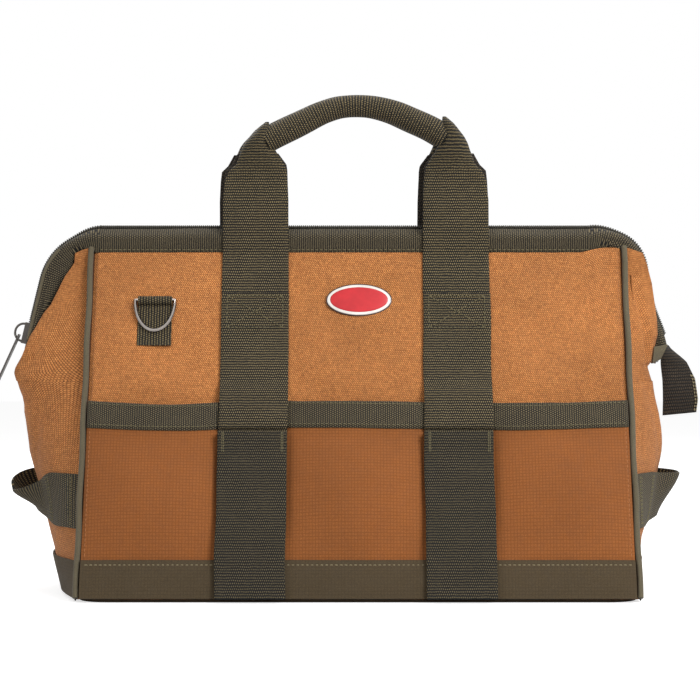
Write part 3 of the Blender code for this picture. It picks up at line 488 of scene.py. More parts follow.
def under_binding():
    """Height of the binding's inner edge over the left pipings."""
    past = HALF + SHIFT + PIPING_REACH - BAR
    return RIM - BEND + math.sqrt(INNER_BEND * INNER_BEND - past * past)


def pocket_edges(side):
    """Both edges of each of a wall's three pockets, which its straps divide."""
    left, right = strap_x(side, LEFT), strap_x(side, RIGHT)
    half = WEB / 2
    return (-CLOTH_END, left - half), (left + half, right - half), (right + half, CLOTH_END)


def pocket_out(side, x, height):
    share = 0.0
    for index, (low, high) in enumerate(pocket_edges(side)):
        if low < x < high:
            place = (x - low) / (high - low)
            share = math.sin(math.pi * place) ** 0.62
            share *= 1 + 0.10 * ripple(x, height, index * 2.0 + side)
    up = min(1.0, max(0.0, (height - BOOT_TOP) / (POCKET_TOP - BOOT_TOP)))
    belly = 0.0105 * math.sin(math.pi * up)
    mouth_out = 0.0080 * smooth(up)
    pulled = 0.0004 * smooth((abs(x) - 0.1915) / 0.0035)
    return share * max(belly, mix(belly, mouth_out, smooth(up))) + CAD_PLAY - pulled


def pocket_point(side, x, height, out):
    """A point of the pocket cloth, whose mouth droops where it stands off the wall."""
    up = smooth((height - 0.060) / (POCKET_TOP - 0.060))
    droop = 0.0018 + 0.42 * max(0.0, pocket_out(side, x, POCKET_TOP))
    droop += 0.0012 * math.sin(math.pi * x / 0.110 + 1.1 * side)
    return wall(side, x, height - up * droop, pocket_out(side, x, height) + out)


def panel_out(side, x, height):
    near_strap = min(abs(x - strap_x(side, hand)) for hand in (LEFT, RIGHT))
    free = smooth((near_strap - 0.024) / 0.03) * smooth((ROW_END - abs(x)) / 0.02)
    up = smooth((height - 0.14) / 0.02) * smooth((0.252 - height) / 0.02)
    pulled = 0.0016 * smooth((abs(x) - 0.1915) / 0.0038)
    pulled -= 0.0024 * smooth((x - 0.163) / 0.012) * smooth((height - 0.236) / 0.008)
    return 0.0030 * free * up * (0.5 + ripple(x * 0.7, height, 1.0 + side)) - pulled


def binding_low(x):
    """Height where the wall's cloth ends under the mouth's binding."""
    if x > 0.150:
        return mix(0.2495, 0.2522, smooth((x - 0.165) / 0.02))
    past = max(0.0, abs(x - SHIFT) - BAR)
    share = smooth(math.asin(min(1.0, past / BEND)) / (TURN * 0.4))
    radius = BEND - mix(BINDING_DROP, LEG_DROP, share) - 0.0010
    return RIM - BEND + math.sqrt(max(0.0, radius * radius - past * past))


# Walls

def band_ring(side, x):
    """Section of the pocket's binding, folded over the edge of the cloth."""
    top = POCKET_TOP + 0.0006 * ripple(x, 0.3)
    outline = ((BAND_LOW, -0.0002), (BAND_LOW + 0.006, -0.0003), (top - 0.004, -0.0004),
               (top - 0.0006, 0.0002), (top + 0.0002, 0.0012), (top - 0.0006, 0.0026),
               (top - 0.004, 0.0031), (BAND_LOW + 0.010, 0.0030), (BAND_LOW + 0.003, 0.0029),
               (BAND_LOW + 0.0004, 0.0027), (BAND_LOW - 0.0002, 0.0020), (BAND_LOW, 0.0010))
    return [pocket_point(side, x, height, out) for height, out in outline]


def build_wall(side):
    name, body = SIDE[side], f"{SIDE[side]}_wall"
    outward = wall_normal(side)
    fringe = spread(-CLOTH_END, -CLOTH_FLAT, 8)[:-1]
    xs = fringe + spread(-CLOTH_FLAT, CLOTH_FLAT, 150) + [-x for x in reversed(fringe)]

    def panel(x, share):
        height = mix(FOOT, binding_low(x), share)
        return wall(side, x, height, panel_out(side, x, height))

    def pocket(x, height):
        return pocket_point(side, x, height, 0.0013)

    def boot(x, height):
        swell = 0.0009 * math.sin(math.pi * min(1, (height - FOOT) / 0.025))
        return wall(side, x, height, 0.0034 + swell + 0.0003 * ripple(x, height, 4))

    def boot_row(x, height):
        return wall(side, x, height, 0.0036)

    def band_row(x, height):
        return pocket_point(side, x, height, 0.0031)

    sheet(f"{name}_panel_cloth", xs, spread(0, 1, 90), panel, 0.0016, CANVAS, outward,
          uv=lambda x, s: (x, s * 0.27), on=body, replaces=f"{name}_panel")
    sheet(f"{name}_pocket_cloth", xs, spread(0.010, BAND_LOW + 0.004, 46), pocket, 0.0012,
          RIPSTOP, outward, on=body, replaces=f"{name}_pocket")
    loft(f"{name}_pocket_band", [band_ring(side, x) for x in xs], BINDING, on=body,
         replaces=f"{name}_pocket_binding")
    sheet(f"{name}_boot_cloth", xs, spread(0.0018, BOOT_TOP, 14), boot, 0.0016, BOOT, outward,
          on=body, replaces=f"{name}_boot")
    for part, look, place, heights, count in (
            ("boot", PALE_THREAD, boot_row, [BOOT_TOP - 0.0035], 114),
            ("band", OLIVE_THREAD, band_row, [BAND_LOW + 0.0022, POCKET_TOP - 0.0022], 121)):
        stitch(f"{name}_{part}_stitches", look, body, outward,
               [(place, (-ROW_END, h), (ROW_END, h), count, *THREAD) for h in heights])
    for hand in (LEFT, RIGHT):
        build_strap(side, hand)
        build_piping(side, hand)


def strap_out(height):
    """The strap's stand-off: over the pocket cloth below, close to the wall above."""
    share = smooth((height - POCKET_TOP - 0.0012) / 0.014)
    groove = max(0.0, 1 - abs(height - 0.1171) / 0.0026)
    return mix(OVER_POCKET, 0.0006, share) - 0.0024 * smooth(groove)


def overlay_out(height):
    return OVER_POCKET + 0.0021 + 0.0009 * smooth((height - 0.103) / 0.010)


def web_profile():
    """The webbing's rounded flat section as (across, out) pairs, first the face, then the back."""
    half, edge = WEB / 2, WEB_THICK / 2
    face = [(-half + 0.0002, 0.3 * edge), (-half + 0.0008, 0.75 * edge), (-half + 0.002, edge)]
    other = [(-across, out) for across, out in reversed(face)]
    face += [(across, edge) for across in spread(-half + 0.004, half - 0.004, 10)] + other
    return face + [(across, -out) for across, out in reversed(face)]


PROFILE = web_profile()
AROUND = [across + WEB / 2 for across, out in PROFILE if out > 0]
AROUND += [WEB / 2 - across + 0.055 for across, out in PROFILE if out < 0]


def build_strap(side, hand):
    name, body = f"{SIDE[side]}_{HAND[hand]}", f"{SIDE[side]}_wall"
    centre = strap_x(side, hand)
    heights = spread(0.004, 0.112, 22) + spread(0.1145, 0.1225, 14) + spread(0.128, 0.162, 16)
    heights += spread(0.167, 0.2182, 12)
    over_heights = spread(0.0006, 0.109, 26) + [0.1130, 0.1145, 0.1155, 0.1159]

    def ring(height, base, wave):
        sway = wave * 0.0006 * ripple(0.4 * hand, height, 3)
        return [wall(side, centre + across + sway, height,
                     base + 0.001 + out + 0.0003 * ripple(across, height, 5))
                for across, out in PROFILE]

    def on_overlay(across, height):
        return wall(side, centre + across, height, overlay_out(height) + 0.0020)

    def on_strap(across, height):
        return wall(side, centre + across, height, 0.0028)

    loft(f"{name}_strap_web", [ring(h, strap_out(h), 1) for h in heights], WEBBING,
         around=AROUND, on=body, replaces=f"{name}_strap")
    # The overlay wears the darker lower webbing as painted shade low on the strap
    loft(f"{name}_overlay_web", [ring(h, overlay_out(h), 1.6) for h in over_heights],
         SHADED_LOW_WEBBING, around=AROUND, on=body, replaces=f"{name}_strap_overlay")
    rows = [(on_overlay, (edge, 0.1010), (edge, 0.1150), 8, 0.9, 0.0003)
            for edge in (-0.0218, -0.0207, 0.0207, 0.0218)]
    half, low, high = 0.0205, 0.1925, 0.2160
    corners = (-half, low), (half, low), (half, high), (-half, high)
    for first, last, count in ((0, 1, 14), (1, 2, 8), (2, 3, 14), (3, 0, 8), (0, 2, 16),
                               (1, 3, 16)):
        rows.append((on_strap, corners[first], corners[last], count, *THREAD))
    stitch(f"{name}_strap_stitches", OLIVE_THREAD, body, wall_normal(side), rows)


# Place from 0 to 6 round a piping's turned-in cloth, its inset and its stand-off
ALLOWANCE = ((0, 0.0060, -0.0026), (1, 0.0040, -0.0024), (2, 0.0024, -0.0018),
             (3, 0.0008, -0.0016), (4, -0.0006, -0.0024), (5, -0.0012, -0.0042),
             (6, -0.0012, -0.0062))


def build_piping(side, hand):
    name, body = f"{SIDE[side]}_{HAND[hand]}", f"{SIDE[side]}_wall"
    top = 0.2500 if hand == RIGHT else under_binding() - PIPING_REACH

    def cord_out(height):
        return 0.0022 * smooth((height - 0.236) / 0.008) if hand == RIGHT else 0.0

    def cord(share):
        height = mix(0.0030, top + 0.003, share)
        return wall(side, hand * (HALF + 0.0003 * math.sin(9 * math.pi * share)), height,
                    0.0006 + cord_out(height))

    def allowance(share, height):
        inset, out = between(ALLOWANCE, share * 6)
        return wall(side, hand * (HALF - inset), height, out + cord_out(height))

    def beside(x, height):
        out = panel_out(side, x, height)
        if height <= POCKET_TOP:
            out = pocket_out(side, x, height) + 0.0013
        return wall(side, x, height, out)

    tube(f"{name}_piping_cord", [cord(share) for share in spread(0, 1, 60)], 0.0021, PIPING, 14,
         on=body, replaces=f"{name}_piping")
    # The side allowances wear the darker seam cloth as painted shade beside the piping
    for part, low, high, look in (("foot", 0.0030, BOOT_TOP, BOOT),
                                  ("side", BOOT_TOP, top - 0.001, SEAM_SHADE)):
        sheet(f"{name}_allowance_{part}", spread(0, 1, 18), spread(low, high, 50), allowance,
              0.0010, look, (hand, side, 0), uv=lambda u, v: (u * 0.012, v), on=body)
    x = hand * (HALF - 0.0052)
    stitch(f"{name}_piping_stitches", ORANGE_THREAD, body, wall_normal(side),
           [(beside, (x, 0.030), (x, top), 65, 0.72, 0.00022)])


# Ends

# Share of the end's height, and share of its bulge outwards
BULGE = {LEFT: ((0.0, 0.0), (0.18, 0.26), (0.30, 0.40), (0.40, 0.54), (0.65, 0.88), (0.85, 1.0),
                (1.0, 1.0)),
         RIGHT: ((0.0, 0.0), (0.18, 0.36), (0.30, 0.50), (0.40, 0.62), (0.65, 0.90), (0.85, 1.0),
                 (1.0, 1.0))}

# Middle height, half width and the stand-off of both edges where a hammer loop folds
LOOP_TIP = {LEFT: (0.0655, 0.0070, 0.0040, 0.0190), RIGHT: (0.0700, 0.0155, 0.0060, 0.0150)}
LOOP_HEIGHT = 0.069
LOOP_HALF = 0.019

# Height, reach and depth of the upper end cloth's free edge, which folds over the leg's binding
FREE_EDGE = {LEFT: ((END_TOP, 0.2445, 0.0004), (0.1590, 0.2465, 0.0004),
                    (0.1605, 0.2467, 0.0010), (0.1636, 0.2458, 0.0040),
                    (0.1748, 0.2411, 0.0110), (0.1849, 0.2351, 0.0128),
                    (0.1926, 0.2300, 0.0128), (0.2045, 0.2232, 0.0128),
                    (0.2104, 0.2181, 0.0128), (0.2309, 0.2078, 0.0128),
                    (0.2420, 0.2006, 0.0110), (0.2479, 0.2002, 0.0104)),
             RIGHT: ((END_TOP, 0.2314, 0.0004), (0.1647, 0.2275, 0.0004),
                     (0.1690, 0.2308, 0.0050), (0.1885, 0.2329, 0.0125),
                     (0.1985, 0.2325, 0.0128), (0.2097, 0.2310, 0.0128),
                     (0.2263, 0.2287, 0.0128), (0.2412, 0.2249, 0.0126),
                     (0.2492, 0.2219, 0.0125), (0.2531, 0.2104, 0.0124))}


def end_half(height):
    return DEPTH - 0.0045 - height * math.tan(LEAN)


def end_middle(hand, height):
    bulge, = between(BULGE[hand], height / END_TOP)
    reach = mix(HALF + 0.009, HALF + 0.0405, bulge)
    if hand == LEFT:
        return reach + 0.0060 * smooth((height - 0.137) / 0.020)
    return reach - 0.0080 * smooth((height - 0.105) / 0.062)


def end_wrinkle(hand, y, height, across):
    """Soft folds of the end cloth, in metres outwards: none at its seams."""
    free = (1 - across ** 4) * smooth(height / 0.03)
    fold = 0.0022 * ripple(y, height * 0.8, 6.0 + hand)
    crease = 0.5 + 0.5 * math.cos(math.tau * (abs(y) - 0.030 + (END_TOP - height) * 0.18) / 0.030)
    fold -= 0.0014 * crease ** 3 * smooth((height - 0.07) / 0.05)
    return free * fold


def end_place(hand, y, height, out=0.0):
    """A point of an end wall's outer face by its depth and height."""
    across = min(1.0, abs(y) / end_half(height))
    middle = hand * SHIFT + end_middle(hand, height)
    reach = mix(HALF, middle, 1 - across ** 1.9) + end_wrinkle(hand, y, height, across)
    return Vector((hand * (reach + out), y, height))


def end_normal(hand, y, height):
    step = 0.001
    low, high = max(height - step, 0.0), min(height + step, END_TOP)
    up = end_place(hand, y, high) - end_place(hand, y, low)
    inward = end_place(hand, y * 0.98 + 0.0005, height) - end_place(hand, y * 0.98 - 0.0005,
                                                                     height)
    normal = inward.cross(up).normalized()
    return normal if normal.x * hand > 0 else -normal


def patch(name, hand, corners, **rest):
    """A closed triangular piece of an end cloth between three (depth, height) corners."""
    count = 26
    (ya, za), (yb, zb), (yc, zc) = corners
    index, flat = {}, []
    for i in range(count + 1):
        for j in range(count + 1 - i):
            a, b = i / count, j / count
            index[i, j] = len(flat)
            flat.append((ya + (yb - ya) * a + (yc - ya) * b, za + (zb - za) * a + (zc - za) * b))
    normals = [end_normal(hand, y, z) for y, z in flat]
    outer = [end_place(hand, y, z) for y, z in flat]
    inner = [p - n * 0.0016 for p, n in zip(outer, normals)]
    faces = []
    for i in range(count):
        for j in range(count - i):
            a, b, c = index[i, j], index[i + 1, j], index[i, j + 1]
            faces.append((a, b, c))
            if j < count - i - 1:
                faces.append((b, index[i + 1, j + 1], c))
    a, b, c = (outer[v] for v in faces[0])
    turned = (b - a).cross(c - a).x * hand < 0
    rim = [index[i, 0] for i in range(count)]
    rim += [index[count - j, j] for j in range(count)]
    rim += [index[0, j] for j in range(count, 0, -1)]
    slab(name, outer, inner, faces, rim, turned, CANVAS, [(y * 1000, z * 1000) for y, z in flat],
         normals=normals + [-n for n in normals], **rest)


def ramp(zero, other, one):
    """Start and end of a blend that is 0 along zero-other and 1 at one, in (depth, height)."""
    along = Vector((other[0] - zero[0], other[1] - zero[1]))
    normal = Vector((-along.y, along.x))
    reach = Vector((one[0] - zero[0], one[1] - zero[1])).dot(normal)
    slope = normal / reach
    end = Vector(zero) + slope / slope.length_squared
    return (0, zero[0], zero[1]), (0, end.x, end.y)


def to_wall(side, start, end):
    """A blend from the base to a wall. start and end are points, or depths of points."""
    start, end = (p if isinstance(p, tuple) else (0, side * p, 0) for p in (start, end))
    return "root", f"{SIDE[side]}_wall", start, end


def build_end(hand):
    name = HAND[hand]
    foot = 0.0023
    top = (0.0, END_TOP)
    inner = {side: (side * 0.06, foot) for side in (FRONT, BACK)}
    patch(f"{name}_end_cloth_middle", hand, (inner[FRONT], inner[BACK], top), on="root",
          replaces=f"{name}_end_panel")
    for side in (FRONT, BACK):
        outer = (side * (end_half(foot) - 0.0002), foot)
        tip = (side * (end_half(END_TOP) - 0.0002), END_TOP)
        start, end = ramp(inner[side], top, tip)
        patch(f"{name}_end_cloth_{SIDE[side]}_upper", hand, (inner[side], top, tip),
              on=to_wall(side, start, end))
        start, end = ramp(outer, tip, inner[side])
        patch(f"{name}_end_cloth_{SIDE[side]}_lower", hand, (outer, inner[side], tip),
              on=to_wall(side, end, start))
        build_end_boot(side, hand)
        build_loop(side, hand)
        build_gusset(side, hand)
    for side in (FRONT, BACK):
        build_fold(side, hand)


def build_end_boot(side, hand):
    def boot(share, height):
        y = side * share * end_half(height) * 0.996
        return end_place(hand, y, height, 0.0020 + 0.0004 * ripple(y, height, 9))

    sheet(f"{HAND[hand]}_end_boot_{SIDE[side]}", spread(0, 1, 40), spread(0.0026, BOOT_TOP, 12),
          boot, 0.0014, BOOT, (hand, 0, 0), uv=lambda u, v: (u * 0.1, v),
          on=to_wall(side, 0.053, 0.098),
          replaces=f"{HAND[hand]}_end_boot" if side == FRONT else "")


def build_loop(side, hand):
    """Half of a hammer loop, from the middle of its end to the corner of the bag."""
    middle, half, low_out, top_out = LOOP_TIP[hand]

    def loop(share, across):
        if side == FRONT:
            rise = smooth(1.15 * max(0.0, 1 - share / 0.46))
            droop = smooth(1.1 * max(0.0, 1 - share / 0.70))
        else:
            rise = smooth(1.15 * max(0.0, 1 - share / 0.40))
            droop = max(0.0, 1 - share / 0.30) ** 1.6
        height = mix(LOOP_HEIGHT, middle, droop) + across * mix(LOOP_HALF, half, droop)
        y = side * share * 0.985 * end_half(height)
        lift = mix(low_out, top_out, smooth((across + 1) / 2)) * rise
        return end_place(hand, y, height, lift + 0.0022)

    blend = to_wall(side, 0.033, 0.0766)
    sheet(f"{HAND[hand]}_loop_web_{SIDE[side]}", spread(0, 1, 50), spread(-1, 1, 14), loop,
          0.0018, WEBBING, (hand, 0, 0), uv=lambda u, v: (v * LOOP_HALF, u * 0.075), on=blend,
          replaces=f"{HAND[hand]}_hammer_loop" if side == FRONT else "")
    stitch(f"{HAND[hand]}_loop_stitches_{SIDE[side]}", OLIVE_THREAD, blend, (hand, side, 0),
           [(loop, (place, -0.9), (place, 0.9), 13, 0.8, 0.0004)
            for place in (0.55, 0.585, 0.90, 0.935)])


def build_fold(side, hand):
    """Half of the end cloth's tongue, which closes the end behind the upper end cloths."""
    low, rise = 0.150, 0.075

    def tongue(share, height):
        up = (height - low) / rise
        half = (end_half(height) - 0.0050) * (1 - 0.3 * up)
        reach = mix(end_middle(hand, END_TOP) - 0.0075, 0.2065, up)
        edge = HALF - hand * SHIFT - 0.004
        return Vector((SHIFT + hand * mix(reach, min(edge, reach - 0.004), share ** 2),
                       side * share * half, height))

    sheet(f"{HAND[hand]}_end_cloth_fold_{SIDE[side]}", spread(0, 1, 16),
          spread(low, low + rise, 24), tongue, 0.0010, CANVAS, (hand, 0, 0),
          uv=lambda u, v: (u * 0.035, v), on=to_wall(side, 0.006, 0.037))


def free_edge(hand, height):
    if height <= FREE_EDGE[hand][-1][0]:
        return between(FREE_EDGE[hand], height)
    rise = min(height - RIM + BEND, INNER_BEND)
    return BAR + math.sqrt(INNER_BEND * INNER_BEND - rise * rise) + 0.0012, 0.0100


def build_gusset(side, hand):
    """An upper end cloth, between the free edge beside the mouth and the corner's piping."""
    piping = HALF - hand * SHIFT
    top = 0.2528 if hand == RIGHT else under_binding() + 0.0015

    def place(share, height):
        risen = height - END_TOP
        inner, inner_y = free_edge(hand, height)
        edge_y = max(end_half(height), 0.0104 if hand == LEFT else 0.0126)
        y = mix(min(inner_y, edge_y - 0.0002), edge_y, share)
        bow = mix((y / edge_y) ** 1.9, share ** 1.6, smooth(risen / 0.037))
        reach = max(mix(inner, piping, bow), piping)
        closing = smooth((top - height) / 0.03)
        free = math.sin(math.pi * share) * smooth(risen / 0.01) * closing
        reach += 0.0030 * free * ripple(y * 1.4, height * 0.7, 3.0 + hand + side)
        if hand == RIGHT:
            line = 0.48 + 0.20 * smooth((height - 0.160) / 0.075)
            crease = 0.0040 * smooth(1 - abs(share - line) / 0.16)
        else:
            crease = 0.0022 * smooth(0.6 * max(0.0, 1 - abs(share - 0.30) / 0.22))
        reach -= crease * smooth((risen - 0.006) / 0.012) * closing
        near = 1 - smooth(risen / 0.02)
        reach += near * end_wrinkle(hand, y, END_TOP, min(1.0, y / end_half(END_TOP)))
        return Vector((SHIFT + hand * reach, side * y, height))

    name = f"{SIDE[side]}_{HAND[hand]}_gusset"
    sheet(f"{name}_cloth", spread(0, 1, 44), spread(END_TOP, top, 80), place, 0.0013, CANVAS,
          (hand, side * 0.3, 0), uv=lambda u, v: (u * 0.045, v), replaces=name,
          on=(f"{SIDE[side]}_wall", f"{SIDE[side]}_frame", (hand * HALF, 0, 0),
              (hand * 0.220, 0, 0)))


# Mouth

# Distance past the straight's end, and how much wider the left corner's binding is there
LEFT_SLACK = (0.020, 0), (0.033, 0.0068), (0.050, 0.0074), (0.060, 0.0050), (0.078, 0)

# How far below the rim each leg's zip tape ends
ZIP_DROP = {(FRONT, LEFT): 0.0790, (BACK, LEFT): 0.0625, (FRONT, RIGHT): 0.0735,
            (BACK, RIGHT): 0.0735}


def hull(circles, count):
    """An outline tight round (across, up, radius) circles."""
    points = []
    for across, up in circle(count):
        best = max(circles, key=lambda item: item[0] * across + item[1] * up + item[2])
        points.append((best[0] + best[2] * across, best[1] + best[2] * up))
    return points


def corner_share(distance):
    return smooth(distance / (BEND * TURN * 0.4))


def band_section(distance, hand):
    """Section of the binding round the rod, as (out, rise) pairs."""
    share = corner_share(distance)
    drop = mix(BINDING_DROP, LEG_DROP, share)
    if hand == LEFT:
        drop += between(LEFT_SLACK, distance)[0]
    lean = BINDING_DROP * math.tan(LEAN) - 0.001 / math.cos(LEAN)
    return hull(((mix(-0.002, 0, share), mix(0.006, 0.003, share), 0.0014), (0, 0, 0.0047),
                 (mix(lean, 0, share), -drop, 0.0014)), 28)


def ring_at(side, hand, where, section):
    return [mouth(side, hand, where, rise, out) for out, rise in section]


def build_mouth(side):
    name, body = SIDE[side], f"{SIDE[side]}_wall"
    rings = []
    for x in spread(-BAR, BAR, 160):
        section = [(out * (1 + 0.05 * ripple(x, rise, 2)), rise + 0.0004 * ripple(x, out, 8))
                   for out, rise in band_section(0, RIGHT)]
        rings.append(ring_at(side, RIGHT, straight(x), section))

    def route(share):
        return straight(mix(-BAR, BAR, share)), 0.0

    def under(x, rise):
        return mouth(side, RIGHT, straight(x), rise, 0.0047)

    loft(f"{name}_mouth_band", rings, BINDING, on=body, replaces=f"{name}_top_binding")
    build_tape(f"{name}_zip_strip", side, RIGHT, route, 90, on=body,
               replaces=f"{name}_zip_tape")
    build_coil(f"{name}_zip_coil", side, RIGHT, route, 2 * BAR, on=body)
    stitch(f"{name}_mouth_stitches", OLIVE_THREAD, body, (0, side, 0),
           [(under, (-BAR, -0.0085), (BAR, -0.0085), 107, *THREAD)])
    for hand in (LEFT, RIGHT):
        build_mouth_leg(side, hand)


def build_mouth_leg(side, hand):
    name = f"{SIDE[side]}_{HAND[hand]}_leg"
    blend = (f"{SIDE[side]}_wall", f"{SIDE[side]}_frame", (SHIFT + hand * BAR, 0, 0),
             (SHIFT + hand * 0.200, 0, 0))
    distances = spread(0, BEND * TURN, 40) + spread(BEND * TURN, leg_distance(0.0830), 32)[1:]
    cloth_end = leg_distance(0.0760)
    length = leg_distance(ZIP_DROP[side, hand])

    def lap(distance, rise):
        return mouth(side, hand, station(distance), rise, -0.0012)

    def route(share):
        return station(share * length), share * length

    loft(f"{name}_band", [ring_at(side, hand, station(d), band_section(d, hand))
                          for d in distances],
         BINDING, on=blend, replaces=f"{name}_binding")
    sheet(f"{name}_lap", spread(0.006, cloth_end, 60), spread(-0.0370, -0.0030, 12), lap, 0.0008,
          CANVAS, (0, side, 0), on=blend)
    if hand == LEFT:
        lip = [mouth(side, hand, station(d), 0.0034, 0.0038)
               for d in spread(0.030, cloth_end, 90)]
        tube(f"{SIDE[side]}_leg_lip", lip, 0.0012, PIPING, 10, on=blend)
    build_tape(f"{name}_strip", side, hand, route, 70, on=blend, replaces=f"{name}_zip_tape")
    build_coil(f"{name}_coil", side, hand, route, length, on=blend)


def tape_rise(distance):
    """How far the zip tape stands over the mouth's line: less round its corners."""
    return mix(0.0106, 0.0074, corner_share(distance))


def build_tape(name, side, hand, route, count, **rest):
    """A zip tape along a route, which gives the station and the distance at each share."""
    rings = []
    face, low = CAD_PLAY - BAR_OUT, 0.0026
    for share in spread(0, 1, count):
        where, distance = route(share)
        rise = tape_rise(distance)
        section = [(face, low - 0.0008), (face + 0.0032, low - 0.0008),
                   (face + 0.0030, low + 0.0008), (face + 0.0011, mix(low, rise, 0.5)),
                   (face + 0.0010, rise - 0.0030), (face + 0.0005, rise - 0.0012),
                   (face, rise - 0.0012)]
        rings.append(ring_at(side, hand, where, section))
    loft(name, rings, TAPE, **rest)


def build_coil(name, side, hand, route, length, **rest):
    """The zip's coil: one long helix whose loops stand on the tape's edge."""
    pitch, steps = 0.0015, 10
    count = round(length / pitch) * steps
    path = []
    for step in range(count + 1):
        where, distance = route(step / count)
        angle = math.tau * step / steps
        path.append(mouth(side, hand, where,
                          tape_rise(distance) - 0.0015 + 0.00095 * math.sin(angle),
                          CAD_PLAY - BAR_OUT + 0.0009 + 0.00062 * math.cos(angle)))
    tube(name, path, 0.00040, COIL, 6, **rest)


# Handles

# Middle line of the front grip, from the middle of the handle, as (x, height)
GRIP_KNOTS = ((-0.0667, 0.3323), (-0.0563, 0.3378), (-0.0396, 0.3461), (-0.0275, 0.3520),
              (-0.0191, 0.3552), (-0.0095, 0.3577), (0.0017, 0.3584), (0.0151, 0.3573),
              (0.0292, 0.3535), (0.0426, 0.3476), (0.0567, 0.3412), (0.0672, 0.3352))
GRIP_CENTRE = WEB / math.tau + 0.001 + 0.0013
BACK_RAISED = 0.0022

# Height, inner and outer edge, and the puff of the hood over the grip's end
LEG_FOOT = 0.218 + 0.0023 * math.sin(LEAN) + CAD_PLAY
LEG = ((LEG_FOOT, 0.0493, 0.0991, 0.0), (0.2885, 0.0499, 0.0989, 0.0),
       (0.3034, 0.0505, 0.0974, 0.0004), (0.3108, 0.0512, 0.0938, 0.0018),
       (0.3152, 0.0530, 0.0890, 0.0032), (0.3234, 0.0583, 0.0860, 0.0062),
       (0.3294, 0.0618, 0.0834, 0.0082), (0.3331, 0.0630, 0.0808, 0.0091),
       (0.3368, 0.0636, 0.0771, 0.0092), (0.3420, 0.0640, 0.0726, 0.0080),
       (0.3465, 0.0645, 0.0672, 0.0020))
FOLD = ((LEG_FOOT, 0.0497, 0.0989, 0.0), (0.2885, 0.0499, 0.0989, 0.0),
        (0.3034, 0.0505, 0.0981, 0.0), (0.3108, 0.0507, 0.0972, 0.0),
        (0.3152, 0.0514, 0.0925, 0.0), (0.3234, 0.0575, 0.0880, 0.0))


def curve_through(knots, steps):
    """A smooth line through (x, height) knots."""
    ends = [knots[0]] + list(knots) + [knots[-1]]
    line = []
    for index in range(len(knots) - 1):
        a, b, c, d = ends[index:index + 4]
        for step in range(steps):
            t = step / steps
            line.append(tuple(0.5 * (2 * q + (r - p) * t + (2 * p - 5 * q + 4 * r - s) * t * t
                                     + (3 * q - p - 3 * r + s) * t ** 3)
                              for p, q, r, s in zip(a, b, c, d)))
    return line + [knots[-1]]


def handle_middle(side):
    return (strap_x(side, LEFT) + strap_x(side, RIGHT)) / 2


def handle_depth(height):
    """Depth of a leg's webbing: on the wall, then clear of the binding, then under the grip."""
    lean = DEPTH - height * math.tan(LEAN) + 0.0013 / math.cos(LEAN)
    clear = BAR_OUT + 0.0048 + CAD_PLAY + 0.001
    return mix(max(lean, clear), GRIP_CENTRE, smooth((height - 0.268) / 0.040))


def build_grip(side):
    raised = BACK_RAISED if side == BACK else 0.0
    path = curve_through([(x, height + raised) for x, height in GRIP_KNOTS], 12)
    rings = []
    for index, (x, height) in enumerate(path):
        before, after = path[max(0, index - 1)], path[min(len(path) - 1, index + 1)]
        along = Vector((after[0] - before[0], after[1] - before[1])).normalized()
        size = mix(0.0084, 0.0092, smooth((abs(x) - 0.010) / 0.045)) - raised * 0.25
        ring = []
        for cos, sin in circle(40):
            swell = size + 0.0005 * ripple(x + 0.004 * cos, height, 4.0 + side)
            sideways, deep = sin * swell, cos * swell
            ring.append(Vector((handle_middle(side) + x - along.y * sideways,
                                side * (GRIP_CENTRE + deep), height + along.x * sideways)))
        rings.append(ring)
    loft(f"{SIDE[side]}_grip_wrap", rings, WEBBING, on=f"{SIDE[side]}_handle",
         replaces=f"{SIDE[side]}_handle")


def build_handle_leg(side, hand):
    grow = 0.0 if hand == LEFT else 0.0040
    # The fold, the back of the leg's own webbing, takes the dark ribbed webbing as painted shade
    # inside the fold
    for part, look, rows, heights, back in (
            ("web", WEBBING, LEG, spread(LEG_FOOT, 0.3465, 120), 0.0),
            ("fold", DARK_WEB_AND_FOLD_SHADE, FOLD, spread(0.2668, 0.3234, 40), 0.0030)):
        rings = []
        for height in heights:
            low, high, puff = between(rows, height)
            if hand == LEFT:
                low, high = high, low
            ring = []
            for across, out in PROFILE:
                share = across / (WEB / 2)
                reach = mix(low, high, (share + 1) / 2)
                over = puff * max(0.0, 1 - abs(share) ** 2.2) ** 0.7 * (1 if out > 0 else -1)
                ring.append(Vector((handle_middle(side) + hand * reach,
                                    side * (handle_depth(height) - back + out + over),
                                    height + grow * smooth((height - 0.322) / 0.018))))
            rings.append(ring)
        loft(f"{SIDE[side]}_{HAND[hand]}_leg_{part}", rings, look, along=heights,
             around=AROUND, on=f"{SIDE[side]}_handle")


# Small fittings

BADGE_X, BADGE_HEIGHT = 0.001, 0.2135

# Share down the tab at the zip's end, its place along the bag and its half width
TAB = ((0, 0.2302, 0.0052), (0.1, 0.2330, 0.0070), (0.25, 0.2368, 0.0098), (0.5, 0.2404, 0.0122),
       (0.8, 0.2416, 0.0131), (1, 0.2411, 0.0126))
TAB_TOP = RIM - 0.088 + 0.0086


def dress_metal():
    looks = {NICKEL: ["d_ring"], DARK_NICKEL: ["zip_slider", "zip_bail", "zip_pull"],
             STEEL: ["front_frame", "back_frame", "left_rivet", "right_rivet", "left_burr",
                     "right_burr"], BOARD: ["base_board"]}
    for look, names in looks.items():
        for place in (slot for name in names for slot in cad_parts[name].material_slots):
            place.material = look


